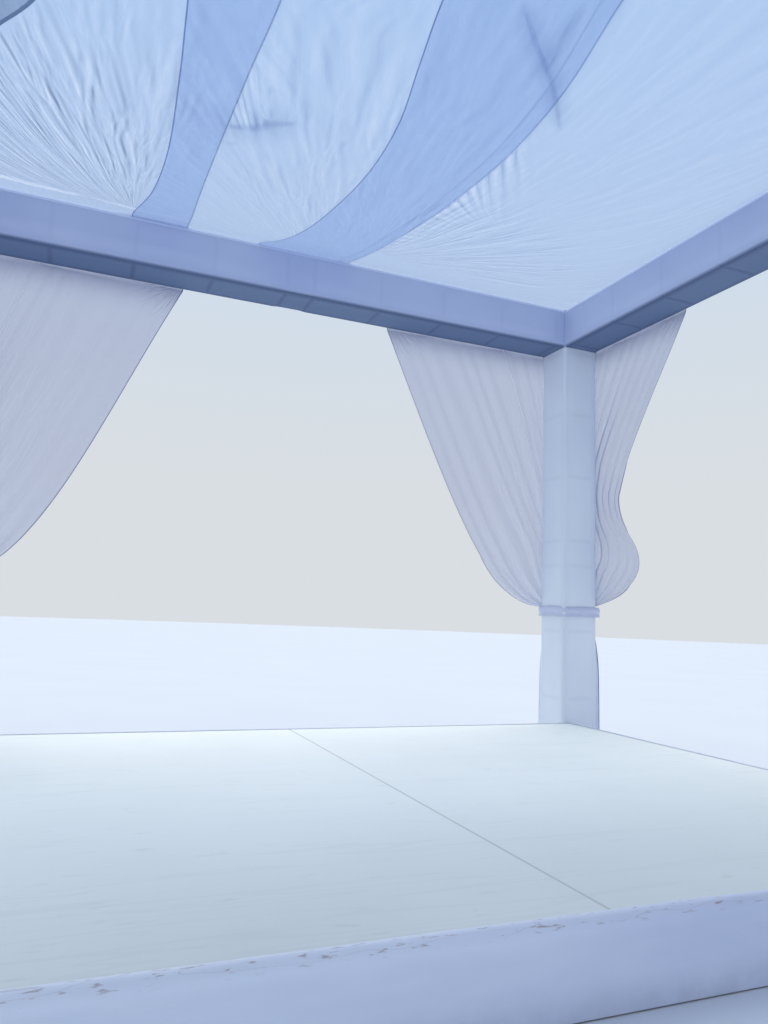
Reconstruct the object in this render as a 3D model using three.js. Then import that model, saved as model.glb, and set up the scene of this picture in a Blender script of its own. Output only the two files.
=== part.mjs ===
// Chuppah canopy: a square frame of fabric-sleeved box truss with a sheer roof, tied-back curtains and a low stage.
// Millimetres, +Z up. The origin is on the ground at the middle of the frame, and +Y points to the back.
import * as THREE from "three";

// Driving dimensions of the frame
const FRAME_OUTER = 4850;
const SECTION = 310;
const SECTION_RADIUS = 22;
const CLEAR_HEIGHT = 3165;
const PLATE_THICKNESS = 10;
const PLATE_SIDE = 300;

// Driving dimensions of the stage
const DECK_WIDTH = 4370;
const DECK_DEPTH = 3230;
const DECK_TOP = 240;
const PANEL_THICKNESS = 30;
const SKIRT_THICKNESS = 25;
const BEARER_WIDTH = 60;

// Driving dimensions of the roof cloths
const ROOF_SAG = 360;
const ROOF_THICKNESS = 8;
const ROOF_EDGE_RISE = 900;
const ROOF_STEPS_ALONG = 20;
const ROOF_STEPS_ACROSS = 5;

// Driving dimensions of the curtains and their ties
const CURTAIN_THICKNESS = 36;
const CURTAIN_CORNER_INSET = 20;
const TIE_HEIGHT = 1070;
const TIE_BAND_HEIGHT = 44;
const TIE_BAND_THICKNESS = 8;
const TAIL_CLEARANCE = 15;

// Touching pieces keep this gap
const SEAT_GAP = 0.3;

// Sizes worked out from the driving dimensions
const HALF = FRAME_OUTER / 2;
const INNER_HALF = HALF - SECTION;
const FRAME_TOP = CLEAR_HEIGHT + SECTION;
const DECK_BACK = INNER_HALF - SEAT_GAP;
const DECK_FRONT = DECK_BACK - DECK_DEPTH;
const DECK_MIDDLE_Y = (DECK_BACK + DECK_FRONT) / 2;
const UNDER_PANEL = DECK_TOP - PANEL_THICKNESS - SEAT_GAP;

const canopy = new THREE.Group();

// Finishes
const finish = (color, roughness, metalness = 0) => new THREE.MeshStandardMaterial({ color, roughness, metalness });
const SLEEVE_FABRIC = finish(0xdfe2f2, 0.8);
const SHEER_VOILE = finish(0xcdd8ef, 0.7);
const CURTAIN_VOILE = finish(0xd9dae8, 0.75);
const DECK_COVER = finish(0xe9f0f8, 0.85);
const SKIRT_FABRIC = finish(0xc3c8e6, 0.85);
const BEARER_TIMBER = finish(0xb08a5e, 0.7);
const PLATE_STEEL = finish(0x8d9196, 0.45, 0.9);

function addPiece(name, geometry, material, place = {}) {
  const piece = new THREE.Mesh(geometry, material);
  const { x = 0, y = 0, z = 0, turn = 0 } = place;
  piece.name = name;
  piece.position.set(x, y, z);
  piece.rotation.z = turn;
  canopy.add(piece);
}

// A square with rounded corners, centred on the origin
function roundedSquare(side, radius) {
  const h = side / 2;
  const straight = h - radius;
  const shape = new THREE.Shape();
  shape.moveTo(-straight, -h);
  shape.lineTo(straight, -h);
  shape.absarc(straight, -straight, radius, -Math.PI / 2, 0);
  shape.lineTo(h, straight);
  shape.absarc(straight, straight, radius, 0, Math.PI / 2);
  shape.lineTo(-straight, h);
  shape.absarc(-straight, straight, radius, Math.PI / 2, Math.PI);
  shape.lineTo(-h, -straight);
  shape.absarc(-straight, -straight, radius, Math.PI, Math.PI * 1.5);
  return shape;
}

// A length of sleeved truss that stands on z = 0
function sleevedTruss(length) {
  const section = roundedSquare(SECTION, SECTION_RADIUS);
  return new THREE.ExtrudeGeometry(section, { depth: length, bevelEnabled: false, curveSegments: 4 });
}

// The four corners of the frame, in turn anticlockwise from the back left one
const CORNERS = ["back_left", "front_left", "front_right", "back_right"].map((name, quarter) => {
  const turn = (quarter * Math.PI) / 2;
  const centre = new THREE.Vector2(-(HALF - SECTION / 2), HALF - SECTION / 2).rotateAround(new THREE.Vector2(), turn);
  return { name, turn, x: centre.x, y: centre.y };
});

// Posts on steel base plates, with a corner block on each
function addPosts() {
  const foot = PLATE_THICKNESS + SEAT_GAP;
  for (const { name, x, y } of CORNERS) {
    const plate = new THREE.BoxGeometry(PLATE_SIDE, PLATE_SIDE, PLATE_THICKNESS);
    addPiece(`base_plate_${name}`, plate, PLATE_STEEL, { x, y, z: PLATE_THICKNESS / 2 });
    const post = sleevedTruss(CLEAR_HEIGHT - SEAT_GAP - foot);
    addPiece(`post_${name}`, post, SLEEVE_FABRIC, { x, y, z: foot });
    addPiece(`corner_block_${name}`, sleevedTruss(SECTION), SLEEVE_FABRIC, { x, y, z: CLEAR_HEIGHT });
  }
}

// The four sides, each described in a frame whose +Y points out of the canopy: the turn brings it to its place, and
// left and right are the ends of the side as seen from inside the canopy
const SIDES = [
  { name: "back", turn: 0, leftEnd: "left", rightEnd: "right" },
  { name: "left", turn: Math.PI / 2, leftEnd: "front", rightEnd: "back" },
  { name: "front", turn: Math.PI, leftEnd: "right", rightEnd: "left" },
  { name: "right", turn: -Math.PI / 2, leftEnd: "back", rightEnd: "front" },
];

// A point given in a side's own frame, in the canopy's frame
function sidePlace(turn, x, y, z) {
  const point = new THREE.Vector2(x, y).rotateAround(new THREE.Vector2(), turn);
  return { x: point.x, y: point.y, z, turn };
}

// Beams between the corner blocks
function addBeams() {
  const length = 2 * (INNER_HALF - SEAT_GAP);
  for (const { name, turn } of SIDES) {
    const beam = sleevedTruss(length);
    beam.translate(0, 0, -length / 2);
    beam.rotateY(Math.PI / 2);
    const place = sidePlace(turn, 0, HALF - SECTION / 2, CLEAR_HEIGHT + SECTION / 2);
    addPiece(`beam_${name}`, beam, SLEEVE_FABRIC, place);
  }
}

// How far the roof hangs below the beams' tops: a parabola from front to back that fades out at the side beams
function roofDrop(x, y) {
  const along = THREE.MathUtils.clamp((y + INNER_HALF) / (2 * INNER_HALF), 0, 1);
  const away = THREE.MathUtils.clamp((INNER_HALF - Math.abs(x)) / ROOF_EDGE_RISE, 0, 1);
  return ROOF_SAG * 4 * along * (1 - along) * (1 - (1 - away) ** 2);
}

// Numbers from one to another in even steps, both ends included
const evenSteps = (from, to, steps) => Array.from({ length: steps + 1 }, (_, i) => from + ((to - from) * i) / steps);

// The lines across the roof where its surface bends: every cloth shares them, so that the cloths lie on each other
const BENDS_ALONG = [-HALF, ...evenSteps(-INNER_HALF, INNER_HALF, ROOF_STEPS_ALONG), HALF];
const RISE_BENDS = evenSteps(INNER_HALF - ROOF_EDGE_RISE, INNER_HALF, ROOF_STEPS_ACROSS);
const BENDS_ACROSS = [...RISE_BENDS.map((x) => -x).reverse(), ...RISE_BENDS];

// One roof cloth: a thin box with a grid of faces, bent to the shape of the roof, with its underside at the height
// that liftAt gives for each bend line
function roofCloth(left, right, liftAt) {
  const xs = [left, ...BENDS_ACROSS.filter((x) => x > left && x < right), right];
  const ys = BENDS_ALONG;
  const cellsX = xs.length - 1;
  const cellsY = ys.length - 1;
  const cloth = new THREE.BoxGeometry(cellsX, cellsY, ROOF_THICKNESS, cellsX, cellsY, 1);
  const points = cloth.attributes.position;
  for (let i = 0; i < points.count; i += 1) {
    const x = xs[Math.round(points.getX(i) + cellsX / 2)];
    const y = ys[Math.round(points.getY(i) + cellsY / 2)];
    const z = points.getZ(i) + ROOF_THICKNESS / 2 + liftAt(x) - roofDrop(x, y);
    points.setXYZ(i, x, y, z);
  }
  return cloth;
}

// The roof: the right cloth lies on the beams, the middle one laps over it, and the left one rises from the beams to
// lap over the middle one
function addRoof() {
  const onBeams = FRAME_TOP + SEAT_GAP;
  const onRight = onBeams + ROOF_THICKNESS + SEAT_GAP;
  const onMiddle = onRight + ROOF_THICKNESS + SEAT_GAP;
  const riseEnd = ROOF_EDGE_RISE - INNER_HALF;
  addPiece("roof_cloth_left", roofCloth(-HALF, -865, (x) => (x < riseEnd ? onBeams : onMiddle)), SHEER_VOILE);
  addPiece("roof_cloth_middle", roofCloth(-1205, 305, () => onRight), SHEER_VOILE);
  addPiece("roof_cloth_right", roofCloth(-300, HALF, () => onBeams), SHEER_VOILE);
}

// Free edges of the curtains: each curve starts at the beam and ends at the tie, as distances from the frame's outer
// corner and heights above the ground
const TIE_TOP = TIE_HEIGHT + 40;
const BUNDLE = { near: 85, far: 225 };
const TAIL = { near: 70, far: 290 };
const SWEPT_EDGE = (reach) => [
  [reach - 500, 2110, 800, 1000, BUNDLE.far, TIE_TOP],
];
const SLACK_EDGE = (reach) => [
  [reach - 250, 2780, 700, 2350, 540, 1950],
  [525, 1700, 765, 1620, 750, 1420],
  [745, 1290, 520, 1160, BUNDLE.far, TIE_TOP],
];

// One curtain with its tail below the tie, in the plane of its side. The side is -1 at a left end and 1 at a right
function curtainOutline(side, reach, freeEdge) {
  const at = (distance) => -side * distance;
  const shape = new THREE.Shape();
  shape.moveTo(at(CURTAIN_CORNER_INSET), FRAME_TOP);
  shape.lineTo(at(reach), FRAME_TOP);
  shape.lineTo(at(reach), CLEAR_HEIGHT);
  for (const [x1, z1, x2, z2, x3, z3] of freeEdge(reach)) {
    shape.bezierCurveTo(at(x1), z1, at(x2), z2, at(x3), z3);
  }
  shape.lineTo(at(BUNDLE.far), TIE_HEIGHT - 40);
  shape.lineTo(at(TAIL.far), TAIL_CLEARANCE);
  shape.lineTo(at(TAIL.near), TAIL_CLEARANCE);
  shape.lineTo(at(BUNDLE.near), TIE_HEIGHT - 40);
  shape.lineTo(at(BUNDLE.near), TIE_TOP);
  shape.lineTo(at(CURTAIN_CORNER_INSET), TIE_TOP + 500);
  return shape;
}

// Curtains hang against the outer faces of the beams and posts, two on each side of the canopy
function addCurtains() {
  const reaches = { back_left: 1600, back_right: 1720, front_left: 1600, front_right: 1720 };
  const sideReach = 1290;
  const outerPlane = HALF + SEAT_GAP + CURTAIN_THICKNESS;
  for (const { name, turn, leftEnd, rightEnd } of SIDES) {
    for (const [side, end] of [[-1, leftEnd], [1, rightEnd]]) {
      const reach = reaches[`${name}_${end}`] ?? sideReach;
      const edge = reach === sideReach ? SLACK_EDGE : SWEPT_EDGE;
      const outline = curtainOutline(side, reach, edge);
      const options = { depth: CURTAIN_THICKNESS, bevelEnabled: false, curveSegments: 8 };
      const curtain = new THREE.ExtrudeGeometry(outline, options);
      curtain.rotateX(Math.PI / 2);
      addPiece(`curtain_${name}_${end}`, curtain, CURTAIN_VOILE, sidePlace(turn, side * HALF, outerPlane, 0));
    }
  }
}

// A tie band round each post and the two curtains gathered on its outer faces
function addTieBands() {
  const toPost = SECTION / 2 + SEAT_GAP;
  const toCurtain = SECTION / 2 + CURTAIN_THICKNESS + 2 * SEAT_GAP;
  const wall = TIE_BAND_THICKNESS;
  const loop = (grow) => {
    const points = [[-toCurtain - grow, -toPost - grow], [toPost + grow, -toPost - grow]];
    points.push([toPost + grow, toCurtain + grow], [-toCurtain - grow, toCurtain + grow]);
    return points.map(([x, y]) => new THREE.Vector2(x, y));
  };
  for (const { name, turn, x, y } of CORNERS) {
    const ring = new THREE.Shape(loop(wall));
    ring.holes.push(new THREE.Path(loop(0)));
    const band = new THREE.ExtrudeGeometry(ring, { depth: TIE_BAND_HEIGHT, bevelEnabled: false });
    addPiece(`tie_band_${name}`, band, CURTAIN_VOILE, { x, y, z: TIE_HEIGHT - TIE_BAND_HEIGHT / 2, turn });
  }
}

// The stage: two covered panels on skirts and a bearer under their joint
function addStage() {
  const panelWidth = (DECK_WIDTH - SEAT_GAP) / 2;
  const panel = new THREE.BoxGeometry(panelWidth, DECK_DEPTH, PANEL_THICKNESS);
  for (const [name, side] of [["left", -1], ["right", 1]]) {
    const place = { x: (side * (panelWidth + SEAT_GAP)) / 2, y: DECK_MIDDLE_Y, z: DECK_TOP - PANEL_THICKNESS / 2 };
    addPiece(`deck_panel_${name}`, panel.clone(), DECK_COVER, place);
  }
  const longSkirt = new THREE.BoxGeometry(DECK_WIDTH, SKIRT_THICKNESS, UNDER_PANEL);
  const fromMiddle = (DECK_DEPTH - SKIRT_THICKNESS) / 2;
  for (const [name, side] of [["front", -1], ["back", 1]]) {
    const place = { y: DECK_MIDDLE_Y + side * fromMiddle, z: UNDER_PANEL / 2 };
    addPiece(`deck_skirt_${name}`, longSkirt.clone(), SKIRT_FABRIC, place);
  }
  const betweenSkirts = DECK_DEPTH - 2 * (SKIRT_THICKNESS + SEAT_GAP);
  const sideSkirt = new THREE.BoxGeometry(SKIRT_THICKNESS, betweenSkirts, UNDER_PANEL);
  for (const [name, side] of [["left", -1], ["right", 1]]) {
    const place = { x: (side * (DECK_WIDTH - SKIRT_THICKNESS)) / 2, y: DECK_MIDDLE_Y, z: UNDER_PANEL / 2 };
    addPiece(`deck_skirt_${name}`, sideSkirt.clone(), SKIRT_FABRIC, place);
  }
  const bearer = new THREE.BoxGeometry(BEARER_WIDTH, betweenSkirts, UNDER_PANEL);
  addPiece("deck_bearer", bearer, BEARER_TIMBER, { y: DECK_MIDDLE_Y, z: UNDER_PANEL / 2 });
}

addPosts();
addBeams();
addRoof();
addCurtains();
addTieBands();
addStage();

export default canopy;
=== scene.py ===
"""The looks of a chuppah canopy, built round its CAD frame.

Metres, +Z up. The origin is on the ground at the middle of the square frame, and +Y points to the back.
"""

import logging
import math
from collections.abc import Callable, Iterable, Sequence
from dataclasses import dataclass
from enum import Enum
from functools import cached_property, partial

import bmesh
import bpy
from mathutils import Matrix, Vector, noise


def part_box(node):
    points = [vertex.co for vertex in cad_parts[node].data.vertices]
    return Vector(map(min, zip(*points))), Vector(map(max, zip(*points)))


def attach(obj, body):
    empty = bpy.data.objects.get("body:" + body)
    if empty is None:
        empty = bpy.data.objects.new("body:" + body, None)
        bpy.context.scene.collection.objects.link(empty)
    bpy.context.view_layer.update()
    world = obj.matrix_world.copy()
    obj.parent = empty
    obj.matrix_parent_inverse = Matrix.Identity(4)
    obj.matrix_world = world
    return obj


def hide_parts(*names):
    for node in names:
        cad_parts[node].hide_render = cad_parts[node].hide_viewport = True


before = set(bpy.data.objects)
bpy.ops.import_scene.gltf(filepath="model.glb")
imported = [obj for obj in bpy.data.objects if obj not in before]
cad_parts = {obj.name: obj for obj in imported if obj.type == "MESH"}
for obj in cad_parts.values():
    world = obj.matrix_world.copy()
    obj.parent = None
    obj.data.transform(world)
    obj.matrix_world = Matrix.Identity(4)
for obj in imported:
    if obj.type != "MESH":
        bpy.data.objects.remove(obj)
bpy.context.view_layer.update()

LOG = logging.getLogger("chuppah_canopy")
BODY = "root"
CORNERS = ("back_left", "front_left", "front_right", "back_right")
# Height of the middle of each tie, where the curtains are gathered to the posts.
TIE_HEIGHT = 1.07
# The numbers that a cloth carries at each of its points for its material.
CLOTH_NUMBERS = ("edge", "slack", "puckered", "pleat", "pleated", "dense", "fold", "turned", "crease")

Pair = tuple[float, float]
Link = bpy.types.NodeSocket
AddNode = Callable[..., Link]
BMesh = bmesh.types.BMesh
Piece = bpy.types.Object


def smooth_step(value: float, low: float, high: float) -> float:
    """A soft step from 0 at low to 1 at high."""
    share = min(1.0, max(0.0, (value - low) / (high - low)))
    return share * share * (3.0 - 2.0 * share)


def mixed(first: float, second: float, share: float) -> float:
    """The number that lies this share of the way from the first to the second."""
    return first + (second - first) * share


def grain(*place: float) -> float:
    """Smooth noise from -1 to 1 at a place of up to three numbers."""
    return noise.noise(Vector((*place, 0.37, 0.81)[:3]))


def middle_of(node: str) -> Vector:
    """The middle of a CAD node's box."""
    low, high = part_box(node)
    return (low + high) / 2


@dataclass(frozen=True)
class FrameSizes:
    """The frame's driving sizes, read off its CAD nodes.

    Attributes:
        half: From the middle to the outer faces of the posts.
        section: Side of the sleeved square truss.
        clear: Height of the beams' undersides.
        top: Height of the beams' tops.
    """

    half: float
    section: float
    clear: float
    top: float

    @classmethod
    def from_cad(cls) -> "FrameSizes":
        """Reads the sizes off one corner block."""
        low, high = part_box("corner_block_back_right")
        return cls(half=high.x, section=high.x - low.x, clear=low.z, top=high.z)

    @property
    def inner(self) -> float:
        """From the middle to the inner faces of the posts."""
        return self.half - self.section


SIZES = FrameSizes.from_cad()


# Colour and nodes


def linear(code: str) -> tuple[float, float, float, float]:
    """Turns an sRGB hex colour to the linear colour that shaders take.

    Args:
        code: The colour as "#RRGGBB".

    Returns:
        Red, green, blue and a full alpha.
    """
    parts = [int(code[i : i + 2], 16) / 255 for i in (1, 3, 5)]
    red, green, blue = (p / 12.92 if p <= 0.04045 else ((p + 0.055) / 1.055) ** 2.4 for p in parts)
    return red, green, blue, 1.0


def add_node(
    tree: bpy.types.NodeTree, kind: str, *values: object, out: str | None = None, **named: object
) -> Link | None:
    """Adds a node with its settings, and fills or links its inputs.

    Args:
        tree: The node tree that gets the node.
        kind: The node's Blender type, without the word ShaderNode.
        *values: What its first inputs in use get, in order: a link, a hex colour or another value.
        out: The name of the output that is asked for. None is the first one in use.
        **named: Its own settings, in lower case, and more of its inputs, with capitals and _ for spaces.

    Returns:
        The output, or None where the node has none.
    """
    node = tree.nodes.new(f"ShaderNode{kind}")
    for name in filter(str.islower, named):
        setattr(node, name, named[name])
    filled = list(zip((socket for socket in node.inputs if socket.enabled), values))
    filled += [(node.inputs[name.replace("_", " ")], named[name]) for name in named if not name.islower()]
    for socket, value in filled:
        if isinstance(value, bpy.types.NodeSocket):
            tree.links.new(value, socket)
        else:
            socket.default_value = linear(value) if isinstance(value, str) else value
    return next((socket for socket in node.outputs if socket.enabled and out in (None, socket.name)), None)


# What every soft step and every noise of the finishes has in common.
SOFT = {"interpolation_type": "SMOOTHSTEP"}
ROUGH = 0.55


def apart(add: AddNode, first: Link | float, second: Link | float) -> Link:
    """How far apart two numbers are."""
    return add("Math", add("Math", first, second, operation="SUBTRACT"), operation="ABSOLUTE")


def summed(add: AddNode, start: Link | float, *terms: tuple[Link | float, float]) -> Link:
    """A number with others added to it, each times its factor.

    Args:
        add: Adds a node.
        start: The number.
        *terms: What is added, each with its factor.

    Returns:
        The sum.
    """
    for value, factor in terms:
        start = add("Math", value, factor, start, operation="MULTIPLY_ADD")
    return start


def tinted(add: AddNode, colour: Link | str, *layers: tuple[Link, str]) -> Link:
    """A colour with tints laid over it, each by its share from 0 to 1, the last one on top.

    Args:
        add: Adds a node.
        colour: The colour.
        *layers: The share and the hex colour of each tint.

    Returns:
        The new colour.
    """
    for share, tint in layers:
        colour = add("Mix", share, colour, tint, data_type="RGBA")
    return colour


def per_metre(spacing_mm: float) -> float:
    """The scale of a pattern whose features lie this many millimetres apart."""
    return 1000 / spacing_mm


def ridges(add: AddNode, place: Link, spacing_mm: float) -> Link:
    """Even ridges along a number in metres, as a height from -1 to 1."""
    turns = 2 * math.pi * per_metre(spacing_mm)
    return add("Math", add("Math", place, turns, operation="MULTIPLY"), operation="SINE")


# Finishes


@dataclass(frozen=True)
class Finish:
    """One finish of the canopy, with the slot that it belongs to."""

    name: str
    slot: str

    def material(self) -> bpy.types.Material:
        """The finish as a material, made the first time that it is asked for.

        Returns:
            The material.
        """
        made = bpy.data.materials.get(self.name)
        if made is None:
            made = bpy.data.materials.new(self.name)
            made.use_nodes = True
            made.node_tree.nodes.clear()
            add = partial(add_node, made.node_tree)
            add("OutputMaterial", self.surface(add))
        return made

    def surface(self, add: AddNode) -> Link:
        """Builds the shader.

        Args:
            add: Adds a node to the material, as add_node does.

        Returns:
            The shader's output.
        """
        raise NotImplementedError


@dataclass(frozen=True)
class SleeveJersey(Finish):
    """White stretch polyester jersey over aluminium truss, in lavender shade.

    It is matt and shows a knit of fine ribs close up. Its lavender colour is painted shade, darker
    still on its undersides, with painted light on its upper edges. The tubes behind it show as painted
    shadow in soft grey stripes, clearest on the undersides: one along each corner, a pair at the coupler
    near the middle of a length, and a rung every half metre from there. The ribs are drawn coarser than
    real ones, so that they show.

    Attributes:
        colour: The jersey in the light, tinted with painted lavender shade.
        shaded: The same where it is uneven.
        painted_underside_shade: The painted shade on its undersides.
        bar: The painted shadow of the truss's tubes behind the cloth.
        rim: The painted light on its upper edges.
        rung_spacing: Distance between the rungs.
        coupler_at: Where two lengths of truss are joined, from the sleeve's middle.
        coupler_half: Half the distance between the two rungs there.
        bar_half: Half the width of a rung.
        half_flat: Half the width of a flat side.
        rib_spacing_mm: Distance between the ribs.
    """

    colour: str = "#C6CFE7"
    shaded: str = "#B9C3DF"
    painted_underside_shade: str = "#5A6F93"
    bar: str = "#33416B"
    rim: str = "#E6EAFA"
    rung_spacing: float = 0.503
    coupler_at: float = -0.07
    coupler_half: float = 0.097
    bar_half: float = 0.011
    half_flat: float = 0.129
    rib_spacing_mm: float = 4.0

    def truss_shadows(self, add: AddNode, along: Link, across: Link) -> Link:
        """How much painted shadow the truss casts at a place on a side: its rungs, and its corner tubes.

        Args:
            add: Adds a node.
            along: Distance along the sleeve from its middle.
            across: Distance from the side's middle.

        Returns:
            The share of the painted shadow's colour.
        """
        past = add("Math", apart(add, along, self.coupler_at), self.coupler_half, operation="SUBTRACT")
        rungs = add("Math", add("Math", past, self.rung_spacing, operation="DIVIDE"), operation="ROUND")
        nearest = add("Math", rungs, self.rung_spacing, operation="MULTIPLY")
        wide, narrow = self.bar_half * 2.2, self.bar_half * 0.4
        rung = add("MapRange", apart(add, past, nearest), wide, narrow, 0.0, 0.42, **SOFT)
        aside = add("Math", across, operation="ABSOLUTE")
        chord = add("MapRange", aside, self.half_flat * 0.66, self.half_flat, 0.0, 0.4, **SOFT)
        return add("Math", rung, chord, operation="MAXIMUM")

    def surface(self, add: AddNode) -> Link:
        """Jersey with painted shade below, painted light on top, and the truss's painted shadow.

        Args:
            add: Adds a node.

        Returns:
            The shader's output.
        """
        length = add("UVMap", uv_map="Length")
        along, across = (add("SeparateXYZ", length, out=axis) for axis in "XY")
        up = add("SeparateXYZ", add("NewGeometry", out="Normal"), out="Z")
        # Painted shade: the undersides get the darker colour.
        under = add("MapRange", up, -0.10, -0.98, **SOFT)
        # Painted light: the upper edges get the lighter colour.
        over = add("MapRange", up, 0.0, 0.2, 0.0, 0.8, **SOFT)
        uneven = add("TexNoise", add("TexCoord", out="Object"), 2.3, 2.0, ROUGH)
        visible = summed(add, 0.1, (under, 0.9))
        # Painted shadow of the truss, strongest on the undersides.
        painted_truss_shadow = add("Math", self.truss_shadows(add, along, across), visible, operation="MULTIPLY")
        shades = (uneven, self.shaded), (under, self.painted_underside_shade), (over, self.rim), (painted_truss_shadow, self.bar)
        knit = add("Bump", Height=ridges(add, across, self.rib_spacing_mm), Distance=0.0002, Strength=0.35)
        creases = add("TexNoise", add("Mapping", length, Scale=(5.0, 26.0, 1.0)), 1.0, 3.0, ROUGH)
        normal = add("Bump", Height=creases, Distance=0.0025, Strength=0.5, Normal=knit)
        cloth = {"Roughness": 0.82, "Normal": normal, "Sheen_Weight": 0.12}
        return add("BsdfPrincipled", tinted(add, self.colour, *shades), **cloth)


@dataclass(frozen=True)
class Voile(Finish):
    """White polyester voile, woven so open that the light shows through.

    One layer takes the edge off what is behind it, and two together look denser and bluer. The thread is
    matt and tinted with painted shade, hems are thin denser lines darkened with painted shade, and pulled
    cloth has fine wrinkles along the pull, with painted light on one side of each and painted shade on the
    other.
    Where many layers are gathered it is plain white. Its cover is the share of the surface that is thread.
    The weave is drawn coarser than a real one, so that it shows. A tone is how much brighter or, below 0,
    darker the cloth gets.

    Attributes:
        colour: One layer, tinted with painted shade.
        thick: Many layers together.
        lit: Painted light on the bright side of a wrinkle or pleat; also brighter seams and folds.
        shaded: Painted shade on the dark side of a wrinkle or pleat; also the colour of darker lines.
        passed: What the gaps between the threads let through.
        cover: The share of the surface that is thread.
        hem_width: Width of the hems.
        stitched: Half the width of the stitching beside a wide hem or a turned edge.
        stitch_tone: The tone of the stitching.
        doubled_cover: How much more thread there is where the cloth lies double.
        doubled_tone: The tone there.
        shade_tone: The tone of the painted shade beside a crease.
        wrinkles: How many wrinkles there are in one unit across them.
        seam_at: Where a seam runs, across the flat cloth, or less than 0.
        thread_mm: Distance between the threads.
    """

    colour: str = "#B7CCE8"
    thick: str = "#EAEFFA"
    lit: str = "#EDF4FE"
    shaded: str = "#6E86B8"
    passed: str = "#EEF3FF"
    cover: float = 0.46
    hem_width: float = 0.005
    stitched: float = 0.006
    stitch_tone: float = -0.35
    doubled_cover: float = 0.05
    doubled_tone: float = 0.0
    shade_tone: float = -0.4
    wrinkles: float = 25.0
    seam_at: float = -1.0
    thread_mm: float = 3.0

    def relief(self, add: AddNode, place: Link, scale: float, gain: float) -> Link:
        """How much painted light wrinkles give the cloth, below 0 where they give painted shade.

        Args:
            add: Adds a node.
            place: A place whose first number runs across the wrinkles.
            scale: How many wrinkles there are in one of it.
            gain: How strongly their slopes show.

        Returns:
            The change of tone: painted light on one side of each wrinkle and painted shade on the other.
        """
        sides = (place, add("VectorMath", place, (0.28 / scale, 0.0, 0.0)))
        flat = {"noise_dimensions": "2D"}
        heights = [apart(add, add("TexNoise", side, scale, 2.2, ROUGH, **flat), 0.5) for side in sides]
        return add("Math", add("Math", *heights, operation="SUBTRACT"), gain, operation="MULTIPLY")

    def wrinkled(self, add: AddNode, place: Link, strength: Link) -> Link:
        """The change of tone from fine and broad wrinkles together, at this strength.

        Args:
            add: Adds a node.
            place: A place whose first number runs across the wrinkles.
            strength: How strong they are.

        Returns:
            The change of tone.
        """
        long = add("Mapping", place, Scale=(0.8, 1.7, 1.0))
        uneven = add("TexNoise", long, self.wrinkles * 0.5, 1.0, ROUGH, noise_dimensions="2D")
        bent = add("VectorMath", place, summed(add, -0.018, (uneven, 0.036)))
        fine = self.relief(add, bent, self.wrinkles, 5.2)
        broad = self.relief(add, add("VectorMath", bent, (3.7, 1.9, 0.0)), self.wrinkles * 0.42, 2.6)
        return add("Math", add("Math", fine, broad), strength, operation="MULTIPLY")

    def pleats(self, add: AddNode, pleat: Link, pleated: Link) -> Link:
        """The tone of broad pleats: painted light along each, painted shade in the narrow dips between.

        Args:
            add: Adds a node.
            pleat: A number that is whole along each pleat.
            pleated: How strong they are.

        Returns:
            The change of tone.
        """
        turned = add("Math", add("Math", pleat, math.pi, operation="MULTIPLY"), operation="COSINE")
        wave = summed(add, -0.7, (add("Math", turned, operation="ABSOLUTE"), 1.3))
        return add("Math", wave, pleated, operation="MULTIPLY")

    def lines(self, add: AddNode, read: dict[str, Link], across: Link) -> list[tuple[Link | float, ...]]:
        """The hems, stitches, seam, creases and folds, each with what it adds to the cover and the tone.

        Args:
            add: Adds a node.
            read: The numbers that the cloth carries.
            across: Distance across the flat cloth.

        Returns:
            Each line's share of the surface, with the two changes.
        """
        fold, turned = read["fold"], read["turned"]
        crease = add("MapRange", read["crease"], 0.016, 0.001, **SOFT)
        shade = add("MapRange", read["crease"], 0.07, 0.0, **SOFT)
        cloudy = add("TexNoise", add("TexCoord", out="Object"), 3.0, 2.0, ROUGH)
        uneven = add("MapRange", cloudy, 0.36, 0.56, 0.2, 1.0, **SOFT)
        from_fold = add("Math", fold, operation="ABSOLUTE")
        near_fold = add("MapRange", from_fold, 0.045, 0.010, **SOFT)
        fold_line = add("Math", near_fold, uneven, operation="MULTIPLY")
        folded = add("MapRange", fold, -0.004, 0.004, **SOFT)
        hem = add("MapRange", read["edge"], self.hem_width * 1.5, self.hem_width * 0.8, **SOFT)
        doubled = add("MapRange", turned, -0.002, 0.002, **SOFT)
        near_stitches = add("MapRange", turned, self.stitched * 2, self.stitched, **SOFT)
        stitches = add("Math", near_stitches, doubled, operation="MULTIPLY")
        sewn = self.seam_at >= 0
        seam = add("MapRange", apart(add, across, self.seam_at), 0.006, 0.003, **SOFT) if sewn else 0.0
        return [
            # Painted shade: a dark line along each crease and softer shade beside it.
            (crease, 0.16, -0.25),
            (shade, 0.06, self.shade_tone),
            # A denser line where the cloth folds over the beam, with a painted highlight.
            (fold_line, 0.3, 1.0),
            (folded, 0.14, 0.2),
            # Hems are denser, and darker with painted shade.
            (hem, 0.42, -1.0),
            (stitches, 0.25, self.stitch_tone),
            (doubled, self.doubled_cover, self.doubled_tone),
            (seam, 0.25, 0.5),
        ]

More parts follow.
